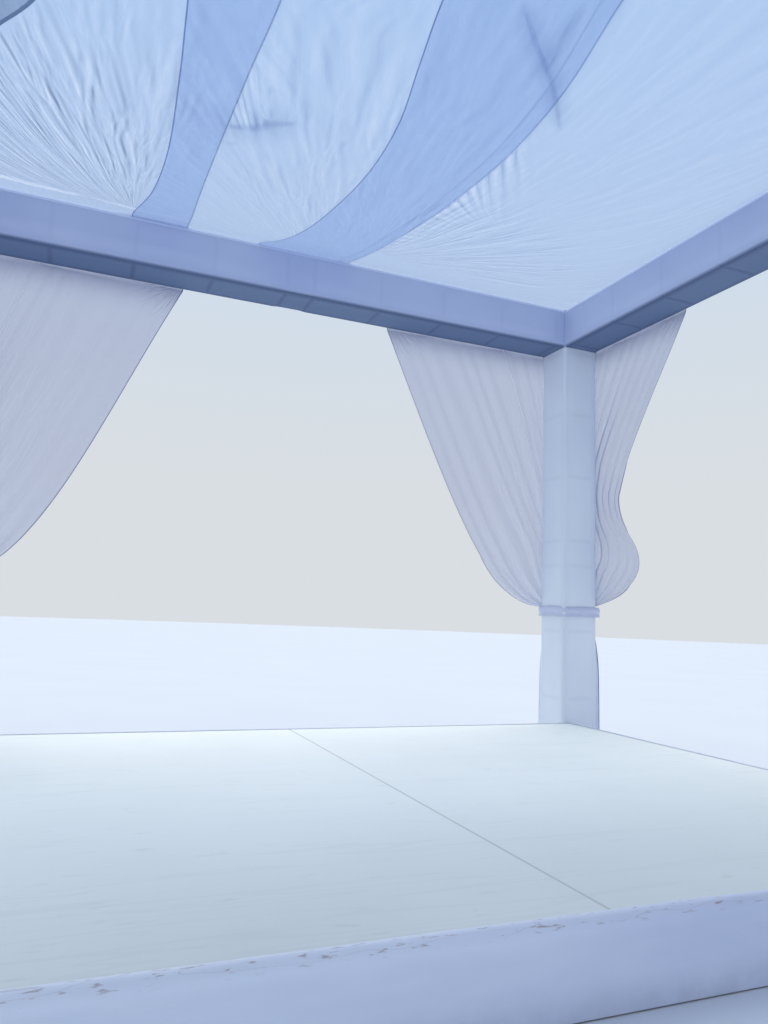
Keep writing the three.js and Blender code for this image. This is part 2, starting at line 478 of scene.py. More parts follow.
    def surface(self, add: AddNode) -> Link:
        """Thread that is lit from both sides, mixed with the open gaps between the threads.

        Args:
            add: Adds a node.

        Returns:
            The shader's output.
        """
        read = {name: add("Attribute", attribute_name=name, out="Fac") for name in CLOTH_NUMBERS}
        pull, pucker, cut = (add("UVMap", uv_map=name) for name in ("Pull", "Pucker", "Cut"))
        across, along = (add("SeparateXYZ", cut, out=axis) for axis in "XY")
        waves = (ridges(add, place, self.thread_mm) for place in (across, along))
        weave = add("Math", *waves, operation="MULTIPLY")
        long = self.wrinkled(add, pull, read["slack"])
        short = self.wrinkled(add, pucker, read["puckered"])
        calm = summed(add, 1.0, (read["dense"], -0.6))
        wrinkles = add("Math", add("Math", long, short), calm, operation="MULTIPLY")
        tone = add("Math", wrinkles, self.pleats(add, read["pleat"], read["pleated"]))
        lines = self.lines(add, read, across)
        depth = add("Math", tone, operation="ABSOLUTE")
        thicker = ((line, cover) for line, cover, _ in lines)
        cover = summed(add, self.cover, (depth, 0.22), (read["dense"], 0.45), (weave, 0.02), *thicker)
        tone = summed(add, tone, *((line, change) for line, _, change in lines))
        # Painted light and shade: bright tones mix in the lit colour, dark tones the shaded one.
        bright = add("Math", tone, 0.0, operation="MAXIMUM", use_clamp=True)
        below = add("Math", tone, 0.0, operation="MINIMUM")
        dark = add("Math", below, -1.0, operation="MULTIPLY", use_clamp=True)
        shades = (read["dense"], self.thick), (bright, self.lit), (dark, self.shaded)
        colour = tinted(add, self.colour, *shades)
        wavy = add("Bump", Height=tone, Distance=0.003, Strength=0.6)
        normal = add("Bump", Height=weave, Distance=0.0003, Strength=0.3, Normal=wavy)
        front = add("BsdfPrincipled", colour, Roughness=0.75, Normal=normal, Sheen_Weight=0.1)
        back = add("BsdfTranslucent", colour, normal)
        through = add("Math", read["dense"], -0.42, 0.5, operation="MULTIPLY_ADD", use_clamp=True)
        thread = add("MixShader", through, front, back)
        gaps = add("BsdfTransparent", self.passed)
        return add("MixShader", add("Math", cover, 0.0, use_clamp=True), gaps, thread)


@dataclass(frozen=True)
class TieSateen(Finish):
    """White polyester sateen strip, folded small: smooth, with a soft shine along its folds."""

    colour: str = "#DDE1F0"
    # Painted shade in the dips between the creases.
    fold: str = "#C3CAE2"
    crease_mm: float = 6.25

    def surface(self, add: AddNode) -> Link:
        """Sateen with fine creases along the strip.

        Args:
            add: Adds a node.

        Returns:
            The shader's output.
        """
        across = per_metre(self.crease_mm)
        long = add("Mapping", add("UVMap", uv_map="Cut"), Scale=(9.0, across, 1.0))
        creases = add("TexNoise", long, 1.0, 3.0, ROUGH)
        # Painted light and shade: lighter on the creases' ridges, darker in their dips.
        colour = tinted(add, self.fold, (creases, self.colour))
        normal = add("Bump", Height=creases, Distance=0.003, Strength=0.7)
        return add("BsdfPrincipled", colour, Roughness=0.5, Sheen_Weight=0.2, Normal=normal)


@dataclass(frozen=True)
class NeedleFelt(Finish):
    """White needle-punched polyester felt, glued to the stage boards.

    It is quite matt and a little fibrous, with painted shade that grows towards the front, faint scuffs
    and a few long, faint creases across the stage.

    Attributes:
        colour: The felt at the back.
        front: The felt at the front, darker with painted shade.
        mark: Its scuffs and creases.
        joint_at: The X of the boards' joint.
        depth: The Y where the painted shade starts to fade, and the Y where it ends.
        fibre_mm: Distance between its fibres, coarser than real ones, so that they show.
    """

    colour: str = "#FBFFF7"
    front: str = "#C5CDCA"
    mark: str = "#A9A8A4"
    joint_at: float = 0.0
    depth: Pair = (-1.6, 0.8)
    fibre_mm: float = 2.381

    def dirt(self, add: AddNode, place: Link, waves: Link) -> Link:
        """How marked the felt is: its scuffs, dark lines along its creases, and the joint of the boards.

        Args:
            add: Adds a node.
            place: The place on the stage.
            waves: The felt's waves, from 0 to 1.

        Returns:
            The share of the mark's colour.
        """
        cloudy = add("TexNoise", add("Mapping", place, Scale=(3.0, 9.0, 1.0)), 2.6, 6.0, ROUGH)
        scuffs = add("MapRange", cloudy, 0.60, 0.80, 0.0, 0.20, **SOFT)
        from_joint = apart(add, add("SeparateXYZ", place, out="X"), self.joint_at)
        joint = add("MapRange", from_joint, 0.008, 0.002, 0.0, 0.55, **SOFT)
        # Faint darker lines along the creases of the felt's waves.
        creases = add("MapRange", apart(add, waves, 0.5), 0.012, 0.0, **SOFT)
        faint = add("Math", creases, 0.07, operation="MULTIPLY")
        return add("Math", add("Math", scuffs, joint, operation="MAXIMUM"), faint, operation="MAXIMUM")

    def surface(self, add: AddNode) -> Link:
        """Felt with fibres, scuffs and creases, dirt along the boards' joint, and painted shade in front.

        Args:
            add: Adds a node.

        Returns:
            The shader's output.
        """
        place = add("TexCoord", out="Object")
        waves = add("TexNoise", add("Mapping", place, Scale=(0.35, 5.5, 1.0)), 1.0, 2.0, ROUGH)
        # Painted shade: the felt grows darker towards the front.
        painted_front_shade = add("MapRange", add("SeparateXYZ", place, out="Y"), *self.depth, 0.68, -0.06, **SOFT)
        uneven = summed(add, painted_front_shade, (add("TexNoise", place, 0.9, 3.0, ROUGH), 0.3))
        colour = tinted(add, self.colour, (uneven, self.front), (self.dirt(add, place, waves), self.mark))
        wavy = add("Bump", Height=waves, Distance=0.004, Strength=0.3)
        fibres = add("TexNoise", place, per_metre(self.fibre_mm), 3.0, ROUGH)
        normal = add("Bump", Height=fibres, Distance=0.0012, Strength=0.4, Normal=wavy)
        return add("BsdfPrincipled", colour, Roughness=0.92, Sheen_Weight=0.15, Normal=normal)


@dataclass(frozen=True)
class SkirtCloth(Finish):
    """White polyester tablecloth fabric wrapped over the stage's edge and taped down.

    It is smooth with a slight shine, lies slack in long shallow waves with a darker tone along them, grows
    darker towards one end with painted shade, is a little soiled where it lies on the felt, and carries
    short brown scuffs and thin scratches over its lip, and grey dust near the ground. The weave is drawn
    coarser than a real one, so that it shows.
    """

    colour: str = "#EFF6FF"
    # The darker tone along the waves, and the painted shade towards one end.
    fold: str = "#CBD4EC"
    soiled: str = "#BFC4CC"
    scuff: str = "#8C766C"
    dust: str = "#8F929C"
    thread_mm: float = 1.43

    def scuffs(self, add: AddNode, cut: Link, down: Link) -> Link:
        """The smudges and scratches over the lip.

        Args:
            add: Adds a node.
            cut: The place on the flat cloth.
            down: Distance from its taped edge.

        Returns:
            The share of the scuffs' colour.
        """
        lip = (add("MapRange", down, 0.0, 0.010, **SOFT), add("MapRange", down, 0.058, 0.034, **SOFT))
        cloudy = add("TexNoise", add("Mapping", cut, Scale=(11.0, 60.0, 1.0)), 1.7, 5.0, ROUGH)
        smudges = add("MapRange", cloudy, 0.58, 0.66, 0.0, 0.6, **SOFT)
        moved = add("VectorMath", add("Mapping", cut, Scale=(1.7, 14.0, 1.0)), (0.0, 7.0, 0.0))
        winding = apart(add, add("TexNoise", moved, 1.6, 1.0, ROUGH), 0.5)
        scratches = add("MapRange", winding, 0.008, 0.0, 0.0, 0.3, **SOFT)
        marks = add("Math", smudges, scratches, operation="MAXIMUM")
        return add("Math", add("Math", *lip, operation="MULTIPLY"), marks, operation="MULTIPLY")

    def surface(self, add: AddNode) -> Link:
        """Cloth with a scuffed lip and a dusty foot.

        Args:
            add: Adds a node.

        Returns:
            The shader's output.
        """
        cut = add("UVMap", uv_map="Cut")
        across, down = (add("SeparateXYZ", cut, out=axis) for axis in "XY")
        waves = add("TexNoise", add("Mapping", cut, Scale=(1.2, 5.0, 1.0)), 1.6, 3.0, ROUGH)
        # Painted shade towards one end, and a darker tone along the long waves.
        painted_end_shade_and_waves = summed(add, add("MapRange", across, 9.4, 11.0, 0.45, -0.15, **SOFT), (waves, 0.6))
        soiled = add("MapRange", down, 0.062, 0.025, 0.0, 0.4, **SOFT)
        low = add("MapRange", down, 0.15, 0.29, **SOFT)
        patchy = add("MapRange", add("TexNoise", cut, 9.0, 4.0, ROUGH), 0.2, 0.8, 0.1, 0.4, **SOFT)
        dust = add("Math", low, patchy, operation="MULTIPLY")
        dirt = (soiled, self.soiled), (self.scuffs(add, cut, down), self.scuff), (dust, self.dust)
        threads = add("TexNoise", add("TexCoord", out="Object"), per_metre(self.thread_mm), 2.0, ROUGH)
        weave = add("Bump", Height=threads, Distance=0.0004, Strength=0.4)
        slack = add("TexNoise", add("Mapping", cut, Scale=(3.0, 11.0, 1.0)), 1.5, 3.0, ROUGH)
        normal = add("Bump", Height=slack, Distance=0.005, Strength=0.4, Normal=weave)
        colour = tinted(add, self.colour, (painted_end_shade_and_waves, self.fold), *dirt)
        return add("BsdfPrincipled", colour, Roughness=0.62, Sheen_Weight=0.15, Normal=normal)


@dataclass(frozen=True)
class ZincPlate(Finish):
    """Zinc-plated rolled steel: a dull grey metal with cloudy spangle and rolling lines.

    The lines are drawn coarser than real ones, so that they show.
    """

    colour: str = "#9DA2A6"
    dull: str = "#7F8589"
    spangle_mm: float = 22.2
    line_mm: float = 3.33

    def surface(self, add: AddNode) -> Link:
        """Plated steel with spangle and scratches.

        Args:
            add: Adds a node.

        Returns:
            The shader's output.
        """
        place = add("TexCoord", out="Object")
        spangle = add("TexNoise", place, per_metre(self.spangle_mm), 4.0, ROUGH)
        fine = per_metre(self.line_mm)
        lines = add("TexNoise", add("Mapping", place, Scale=(4.0, fine, fine)), 1.0, 2.0, ROUGH)
        normal = add("Bump", Height=lines, Distance=0.0002, Strength=0.4)
        colour = tinted(add, self.dull, (spangle, self.colour))
        rough = summed(add, 0.3, (spangle, 0.3))
        return add("BsdfPrincipled", colour, Metallic=1.0, Roughness=rough, Normal=normal)


@dataclass(frozen=True)
class SawnPine(Finish):
    """Sawn softwood: pale yellow-brown with growth rings along the bearer and a rough sawn face."""

    light: str = "#C9A676"
    dark: str = "#9A6F42"
    ring_mm: float = 10.4
    saw_mm: float = 3.85

    def surface(self, add: AddNode) -> Link:
        """Pine with rings that run along Y, and marks of the saw across them.

        Args:
            add: Adds a node.

        Returns:
            The shader's output.
        """
        place = add("TexCoord", out="Object")
        ring, saw = per_metre(self.ring_mm), per_metre(self.saw_mm)
        rings = add("TexNoise", add("Mapping", place, Scale=(ring, 4.0, ring)), 1.0, 3.0, ROUGH)
        marks = add("TexNoise", add("Mapping", place, Scale=(8.0, saw, 8.0)), 1.0, 1.0, ROUGH)
        colour = tinted(add, self.light, (add("MapRange", rings, 0.35, 0.65, **SOFT), self.dark))
        normal = add("Bump", Height=marks, Distance=0.0006, Strength=0.4)
        return add("BsdfPrincipled", colour, Roughness=0.7, Normal=normal)


@dataclass(frozen=True)
class StudioPaint(Finish):
    """Matt pale paint of the studio floor, with no pattern that would draw the eye."""

    colour: str = "#DDE1E6"
    duller: str = "#D6DBE1"

    def surface(self, add: AddNode) -> Link:
        """Paint with a very faint unevenness."""
        uneven = add("TexNoise", add("TexCoord", out="Object"), 0.6, 2.0, ROUGH)
        return add("BsdfPrincipled", tinted(add, self.colour, (uneven, self.duller)), Roughness=0.9)


class Finishes(Enum):
    """Every finish of the canopy and its studio."""

    # The beams' jersey has painted lavender shade; the posts' lighter copy has painted light.
    SLEEVE = SleeveJersey("stretch_polyester_jersey", "sleeve_fabric")
    PAINTED_LIT_POST_SLEEVE = SleeveJersey(
        "stretch_polyester_jersey_post_painted_light", "sleeve_fabric", colour="#F1F6FA", shaded="#E6ECF3"
    )
    ROOF = Voile("polyester_voile_roof", "roof_voile")
    # The turned-back edge lies double and denser, and is darker and greyer with painted shade.
    ROOF_TURNED = Voile(
        "polyester_voile_turned", "roof_voile", shaded="#64799A", stitched=0.008, stitch_tone=-1.0,
        doubled_cover=0.42, doubled_tone=-0.55,
    )
    # The curtains' grey-blue colour is painted shade, and shade_tone sets the beam's painted shadow.
    CURTAIN = Voile(
        "polyester_voile_curtain", "curtain_voile", colour="#B0B2C4", shaded="#6F779C", cover=0.5,
        shade_tone=-0.9, seam_at=0.69,
    )
    TIE = TieSateen("polyester_sateen", "tie_fabric")
    FELT = NeedleFelt("needle_punched_felt", "deck_cover")
    SKIRT = SkirtCloth("polyester_tablecloth", "skirt_fabric")
    STEEL = ZincPlate("zinc_plated_steel", "plate_steel")
    PINE = SawnPine("sawn_pine", "bearer_timber")
    FLOOR = StudioPaint("matt_studio_paint", "")


# Pieces


def link_mesh(name: str, bm: BMesh, finish: Finishes) -> Piece:
    """Turns a bmesh, which it frees, into an object of a finish.

    Args:
        name: The object's name.
        bm: Its mesh, in place.
        finish: What it is made of.

    Returns:
        The new object.
    """
    mesh = bpy.data.meshes.new(name)
    bm.to_mesh(mesh)
    bm.free()
    mesh.materials.append(finish.value.material())
    made = bpy.data.objects.new(name, mesh)
    bpy.context.scene.collection.objects.link(made)
    return made


def add_piece(name: str, bm: BMesh, finish: Finishes, *replaced: str) -> Piece:
    """Turns a bmesh into a smooth piece that rides on the canopy and stands for CAD nodes.

    Args:
        name: The piece's name.
        bm: Its mesh, in place. It is freed.
        finish: What it is made of.
        *replaced: The CAD nodes that it stands for.

    Returns:
        The new object.
    """
    for face in bm.faces:
        face.smooth = True
    piece = link_mesh(name, bm, finish)
    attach(piece, BODY)
    if replaced:
        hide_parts(*replaced)
    LOG.info("%s: %d faces of %s", name, len(piece.data.polygons), finish.value.name)
    return piece


def dress(node: str, finish: Finishes) -> None:
    """Gives a CAD node its finish."""
    bpy.data.objects[node].material_slots[0].material = finish.value.material()
    LOG.info("%s: a CAD node of %s", node, finish.value.name)


def round_off(bm: BMesh, edges: list[bmesh.types.BMEdge], radius: float, segments: int) -> None:
    """Rounds edges of a mesh.

    Args:
        bm: The mesh.
        edges: The edges.
        radius: Radius of the round.
        segments: How many faces go round it.
    """
    bmesh.ops.bevel(
        bm, geom=edges, offset=radius, offset_type="OFFSET", segments=segments, profile=0.5,
        affect="EDGES", material=-1,
    )


def cut_across(bm: BMesh, axis: int, places: Iterable[float]) -> None:
    """Cuts every face of a mesh where it crosses planes square to an axis.

    Args:
        bm: The mesh.
        axis: 0, 1 or 2 for X, Y or Z.
        places: Where the planes stand on that axis.
    """
    normal = [0.0, 0.0, 0.0]
    normal[axis] = 1.0
    for place in places:
        point = [n * place for n in normal]
        everything = [*bm.verts, *bm.edges, *bm.faces]
        bmesh.ops.bisect_plane(bm, geom=everything, dist=1e-6, plane_co=point, plane_no=normal)


def even_steps(low: float, high: float, steps: int) -> list[float]:
    """The places between two numbers that part them into even steps, without the two numbers."""
    return [mixed(low, high, i / steps) for i in range(1, steps)]


def map_corners(bm: BMesh, name: str, spot: Callable[[Vector], Pair]) -> None:
    """Gives a mesh a UV map, with the spot on it that each of its places gets.

    Args:
        bm: The mesh.
        name: The map's name.
        spot: Gives the spot for a place.
    """
    layer = bm.loops.layers.uv.new(name)
    for face in bm.faces:
        for loop in face.loops:
            loop[layer].uv = spot(loop.vert.co)


# Truss sleeves


@dataclass
class TrussSleeve:
    """A stretch sleeve over a length of box truss, built along X about the origin and then put in place.

    Attributes:
        section: Side of its square section.
        radius: Radius of its corners, over the corner tubes.
        hollow: How far the cloth draws in between the corner tubes.
        creased: Depth of the creases near its ends.
        station: Distance between the cuts along it.
        coupler: Where two lengths of truss are joined, from its middle, or None.
        coupler_half: Half the length of the cloth that the coupler pushes out.
        coupler_rise: How far it pushes the cloth out.
        finish: What it is made of.
        sharpest: The angle between two faces, in radians, from which the edge between them looks sharp.
    """

    section: float
    radius: float = 0.026
    hollow: float = 0.0045
    creased: float = 0.0022
    station: float = 0.04
    coupler: float | None = -0.07
    coupler_half: float = 0.115
    coupler_rise: float = 0.005
    finish: Finishes = Finishes.SLEEVE
    sharpest: float = 1.0

    @property
    def flat(self) -> float:
        """Half the width of a flat side between its rounded corners."""
        return self.section / 2 - self.radius

    def outline(self, length: float) -> BMesh:
        """A square bar with rounded corners, cut into a grid.

        Args:
            length: How long it is.

        Returns:
            The bar, along X about the origin.
        """
        bm = bmesh.new()
        bmesh.ops.create_cube(bm, size=1.0)
        bmesh.ops.scale(bm, vec=(length, self.section, self.section), verts=bm.verts)
        corners = [e for e in bm.edges if abs(e.verts[0].co.x - e.verts[1].co.x) > length / 2]
        round_off(bm, corners, self.radius, 5)
        cut_across(bm, 0, even_steps(-length / 2, length / 2, max(4, round(length / self.station))))
        rim = self.flat * 0.999
        for axis in (1, 2):
            cut_across(bm, axis, [-rim, *even_steps(-self.flat, self.flat, 8), rim])
        return bm

    def side_of(self, point: Vector) -> tuple[int, float]:
        """Which flat side a point of the bar is on, and where across it.

        Args:
            point: The point.

        Returns:
            The side, from 0 to 3, and the distance from its middle.
        """
        if abs(point.y) >= abs(point.z):
            return (0 if point.y > 0 else 2), point.z
        return (1 if point.z > 0 else 3), point.y

    def drawn_in(self, point: Vector, length: float, seed: float) -> Vector:
        """Where a point of the bar goes when the cloth is pulled tight over the tubes.

        Args:
            point: The point.
            length: How long the bar is.
            seed: Sets this sleeve's waves apart.

        Returns:
            The new place.
        """
        side, across = self.side_of(point)
        share = min(1.0, abs(across) / self.flat)
        to_end = length / 2 - abs(point.x)
        middle = (1 - share * share) ** 1.5 * smooth_step(to_end, 0.0, 0.25)
        wave = grain(point.x * 2.1, side * 3.0 + seed, across * 9.0)
        crease = grain(point.x * 11.0 + across * 26.0, side * 5.0 - seed) * math.exp(-to_end / 0.22)
        inward = self.hollow * middle * (1.0 + 0.6 * wave) + self.creased * crease * (1 - share)
        if self.coupler is not None and share > 0.75:
            within = self.coupler_half - abs(point.x - self.coupler)
            inward -= self.coupler_rise * smooth_step(within, 0.0, 0.035)
        axis, sign = (1, point.y) if side in (0, 2) else (2, point.z)
        moved = point.copy()
        moved[axis] -= math.copysign(inward, sign)
        return moved

    def build(self, name: str, length: float, place: Matrix, replaced: str) -> None:
        """Makes one sleeve.

        Args:
            name: The piece's name.
            length: How long it is.
            place: Turns and moves it from about the origin to where it belongs.
            replaced: The CAD node that it stands for.
        """
        bm = self.outline(length)
        seed = place.translation.x * 1.7 + place.translation.y * 2.9
        map_corners(bm, "Length", lambda point: (point.x, self.side_of(point)[1]))
        for vert in bm.verts:
            vert.co = self.drawn_in(vert.co, length, seed)
        bmesh.ops.transform(bm, matrix=place, verts=bm.verts)
        bmesh.ops.recalc_face_normals(bm, faces=bm.faces)
        for edge in bm.edges:
            edge.smooth = edge.calc_face_angle(0.0) < self.sharpest
        add_piece(name, bm, self.finish, replaced)


@dataclass
class SleevedFrame:
    """The four posts, the four corner caps and the four beams, all in sleeves, on steel base plates.

    Attributes:
        sizes: The frame's sizes.
        seat_gap: The gap where a sleeve ends at another or stands on its plate.
        plate: Thickness of the base plates.
    """

    sizes: FrameSizes
    seat_gap: float = 0.0003
    plate: float = 0.01

    def build(self) -> None:
        """Makes every sleeve and gives the base plates their finish."""
        section = self.sizes.section
        beam = TrussSleeve(section)
        post = TrussSleeve(section, finish=Finishes.PAINTED_LIT_POST_SLEEVE)
        cap = TrussSleeve(section, radius=0.006, hollow=0.002, station=0.03, coupler=None)
        upright = Matrix.Rotation(-math.pi / 2, 4, "Y")
        foot = self.plate + self.seat_gap
        length = self.sizes.clear - self.seat_gap - foot
        for name in CORNERS:
            centre = middle_of(f"corner_block_{name}")
            centre.z = 0.0
            middle = Matrix.Translation(centre + Vector((0, 0, foot + length / 2)))
            post.build(f"post_sleeve_{name}", length, middle @ upright, f"post_{name}")
            block = Matrix.Translation(centre + Vector((0, 0, self.sizes.clear + section / 2)))
            cap.build(f"corner_cap_{name}", section, block @ upright, f"corner_block_{name}")
            dress(f"base_plate_{name}", Finishes.STEEL)
        span = 2 * (self.sizes.inner - self.seat_gap)
        for name in ("back", "left", "front", "right"):
            turn = Matrix.Rotation(0 if name in ("back", "front") else math.pi / 2, 4, "Z")
            place = Matrix.Translation(middle_of(f"beam_{name}")) @ turn
            beam.build(f"beam_sleeve_{name}", span, place, f"beam_{name}")


# Cloth


@dataclass
class ClothPoint:
    """One point of a cloth's grid, with what its material reads there.

    Attributes:
        place: Where it is.
        cut: Where it was on the flat cloth, in metres.
        pull: A place whose first number runs across the long wrinkles.
        pucker: A place whose first number runs across the short wrinkles that start at a seam.
        edge: Distance to the nearest edge of the flat cloth.
        slack: How strong the long wrinkles are, from 0 to 1.
        puckered: How strong the short wrinkles are, from 0 to 1.
        pleat: A number that is whole along the middle of each broad pleat.
        pleated: How strong the broad pleats are, from 0 to 1.
        dense: How much more thread lies there, from 0 to 1.
        fold: Distance past a line beyond which the cloth is folded over the beam.
        turned: Distance past the stitching beyond which a wide hem or an edge lies double.
        crease: Distance to the nearest crease, for painted shade; on a curtain, from the beam's lower edge.
    """

    place: Vector
    cut: Pair
    pull: Pair = (0.0, 0.0)
    pucker: Pair = (0.0, 0.0)
    edge: float = 1.0
    slack: float = 0.0
    puckered: float = 0.0
    pleat: float = 0.0
    pleated: float = 0.0
    dense: float = 0.0
    fold: float = -1.0
    turned: float = -1.0
    crease: float = 1.0


def cloth_mesh(cells: tuple[int, int], point: Callable[[float, float], ClothPoint]) -> BMesh:
    """A sheet of cloth as a grid of faces.

    Args:
        cells: How many faces it has across and along.
        point: Gives the cloth's point for a share of its width and a share of its length.

    Returns:
        The mesh, with the UV maps Cut, Pull and Pucker and the numbers that the voile reads.
    """
    bm = bmesh.new()
    bmesh.ops.create_grid(bm, x_segments=cells[0], y_segments=cells[1], size=0.5)
    layers = {name: bm.verts.layers.float.new(name) for name in CLOTH_NUMBERS}
    maps = {name: bm.loops.layers.uv.new(name.capitalize()) for name in ("cut", "pull", "pucker")}
    points = {vert: point(vert.co.x + 0.5, vert.co.y + 0.5) for vert in bm.verts}
    for vert, found in points.items():
        vert.co = found.place
        for name, layer in layers.items():
            vert[layer] = getattr(found, name)
    for face in bm.faces:
        for loop in face.loops:
            for name, layer in maps.items():
                loop[layer].uv = getattr(points[loop.vert], name)
    return bm


def turned_out(bm: BMesh, outward: Vector) -> BMesh:
    """Turns a sheet's faces so that most of them face a direction.

    Args:
        bm: The sheet.
        outward: The direction.

    Returns:
        The same sheet.
    """
    facing = sum((face.normal * face.calc_area() for face in bm.faces), Vector())
    if facing.dot(outward) < 0:
        bmesh.ops.reverse_faces(bm, faces=bm.faces)
    return bm


@dataclass(frozen=True)
class SmoothLine:
    """A smooth line through chosen points.

    Attributes:
        points: The points in order, each as its place along the line's run and its place across it.
    """

    points: tuple[Pair, ...]

    def across(self, along: float) -> float:
        """Where the line lies across its run, at a place along it.

        Args:
            along: The place along its run.

        Returns:
            The place across its run.
        """
        points = self.points
        first = max(0, min(len(points) - 2, sum(point[0] < along for point in points) - 1))
        start, end = points[first], points[first + 1]
        before, after = points[max(0, first - 1)], points[min(len(points) - 1, first + 2)]
        span = end[0] - start[0]
        slopes = (end[1] - before[1]) / (end[0] - before[0]), (after[1] - start[1]) / (after[0] - start[0])
        t = min(1.0, max(0.0, (along - start[0]) / span))
        held = start[1] * (2 * t**3 - 3 * t**2 + 1) + end[1] * (3 * t**2 - 2 * t**3)
        return held + span * (slopes[0] * (t**3 - 2 * t**2 + t) + slopes[1] * (t**3 - t**2))


@dataclass(frozen=True)
class Fan:
    """Long wrinkles that fan out from where a cloth is tied to the back beam, and to the front beam likewise.

    Attributes:
        x: Where it is tied, across the roof.
        y: How far back the wrinkles start.
        lean: The side that the fan leans to, -1 or 1.
        reach: How far the wrinkles run.
        strength: How strong they are, from 0 to 1.
        spread: The angle from straight along the roof at which the wrinkles end.
        divide: The Y where the back fan ends and the front one begins.
    """

    x: float
    y: float
    lean: float
    reach: float
    strength: float
    spread: float = 3.0
    divide: float = -1.1

    def at(self, x: float, y: float) -> tuple[Pair, float]:
        """The place across and along the wrinkles, and how strong they are there.

        Args:
            x: Place across the roof.
            y: Place along the roof.

        Returns:
            The place and the strength, from 0 to 1.
        """
        aside = (x - self.x) * self.lean
        down = self.y - y if y > self.divide else self.y + y
        far = math.hypot(aside, down)
        angle = math.atan2(aside, down)
        strong = smooth_step(far, 0.05, 0.3) * (1 - smooth_step(far, 0.5 * self.reach, self.reach))
        strong *= smooth_step(angle, -0.3, 0.2) * smooth_step(abs(y - self.divide), 0.0, 0.3)
        within = 1 - smooth_step(angle, self.spread - 0.35, self.spread + 0.35)
        strong *= smooth_step(down, 0.0, 0.2) * within
        side = 4.0 if y > self.divide else -4.0
        return (angle + side, 0.08 * far), strong * self.strength


@dataclass(frozen=True)
class Puckers:
    """Short wrinkles and broad pleats that start at a seam and run back and to the right.

    Attributes:
        seam: The seam, as X along Y.
        slants: How far back they run for each metre to the right, along the Y where they start.
        pleats: A number that is whole where a pleat starts, along the Y where they start.
        strengths: How strong they are, along the Y where they start.
        end: A line that they end at, as Y along X, if they do.
        reach: How far to the right they run.
    """

    seam: SmoothLine
    slants: SmoothLine
    pleats: SmoothLine
    strengths: SmoothLine
    end: SmoothLine | None = None
    reach: float = 0.13

    def at(self, x: float, y: float) -> tuple[Pair, float, float]:
        """The place across and along the wrinkles, how strong they are there, and the pleats' number.

        Args:
            x: Place across the roof.
            y: Place along the roof.

        Returns:
            The place, the strength from 0 to 1, and the number.
        """
        aside = x - self.seam.across(y)
        start = y
        for _ in range(3):
            start = y - self.slants.across(start) * aside
        strong = math.exp(-max(0.0, aside) / self.reach) if aside > -0.004 else 0.0
        strong *= self.strengths.across(start)
        if self.end is not None:
            strong *= 1 - smooth_step(y - self.end.across(x), -0.05, 0.02)
        return (0.38 * start, 0.10 * aside), strong, self.pleats.across(start)


@dataclass(frozen=True)
class Crease:
    """A crease that narrows and fades out at its ends.

    Attributes:
        points: The points that it runs through, each as X and Y.
        soft: How many times wider it is than a sharp one.
    """

    points: tuple[Pair, ...]
    soft: float = 1.0

    def distance(self, spot: Pair) -> float:
        """The distance from a spot to the crease, less for a softer crease, which looks wider.

        Args:
            spot: The spot.

        Returns:
            The distance.
        """
        to_end = min(math.dist(spot, end) for end in (self.points[0], self.points[-1]))
        width = self.soft * mixed(0.3, 1.0, smooth_step(to_end, 0.0, 0.16))
        return distance_to(self.points, spot) / width + 0.04 * (1 - smooth_step(to_end, 0.0, 0.06))


def distance_to(line: Sequence[Pair], spot: Pair) -> float:
    """The distance from a spot to a line through points.

    Args:
        line: The line's points in order.
        spot: The spot.

    Returns:
        The distance.
    """
    nearest = math.inf
    for (x0, y0), (x1, y1) in zip(line, line[1:]):
        run = (x1 - x0, y1 - y0)
        share = ((spot[0] - x0) * run[0] + (spot[1] - y0) * run[1]) / (run[0] ** 2 + run[1] ** 2)
        share = min(1.0, max(0.0, share))
        nearest = min(nearest, math.dist(spot, (x0 + run[0] * share, y0 + run[1] * share)))
    return nearest


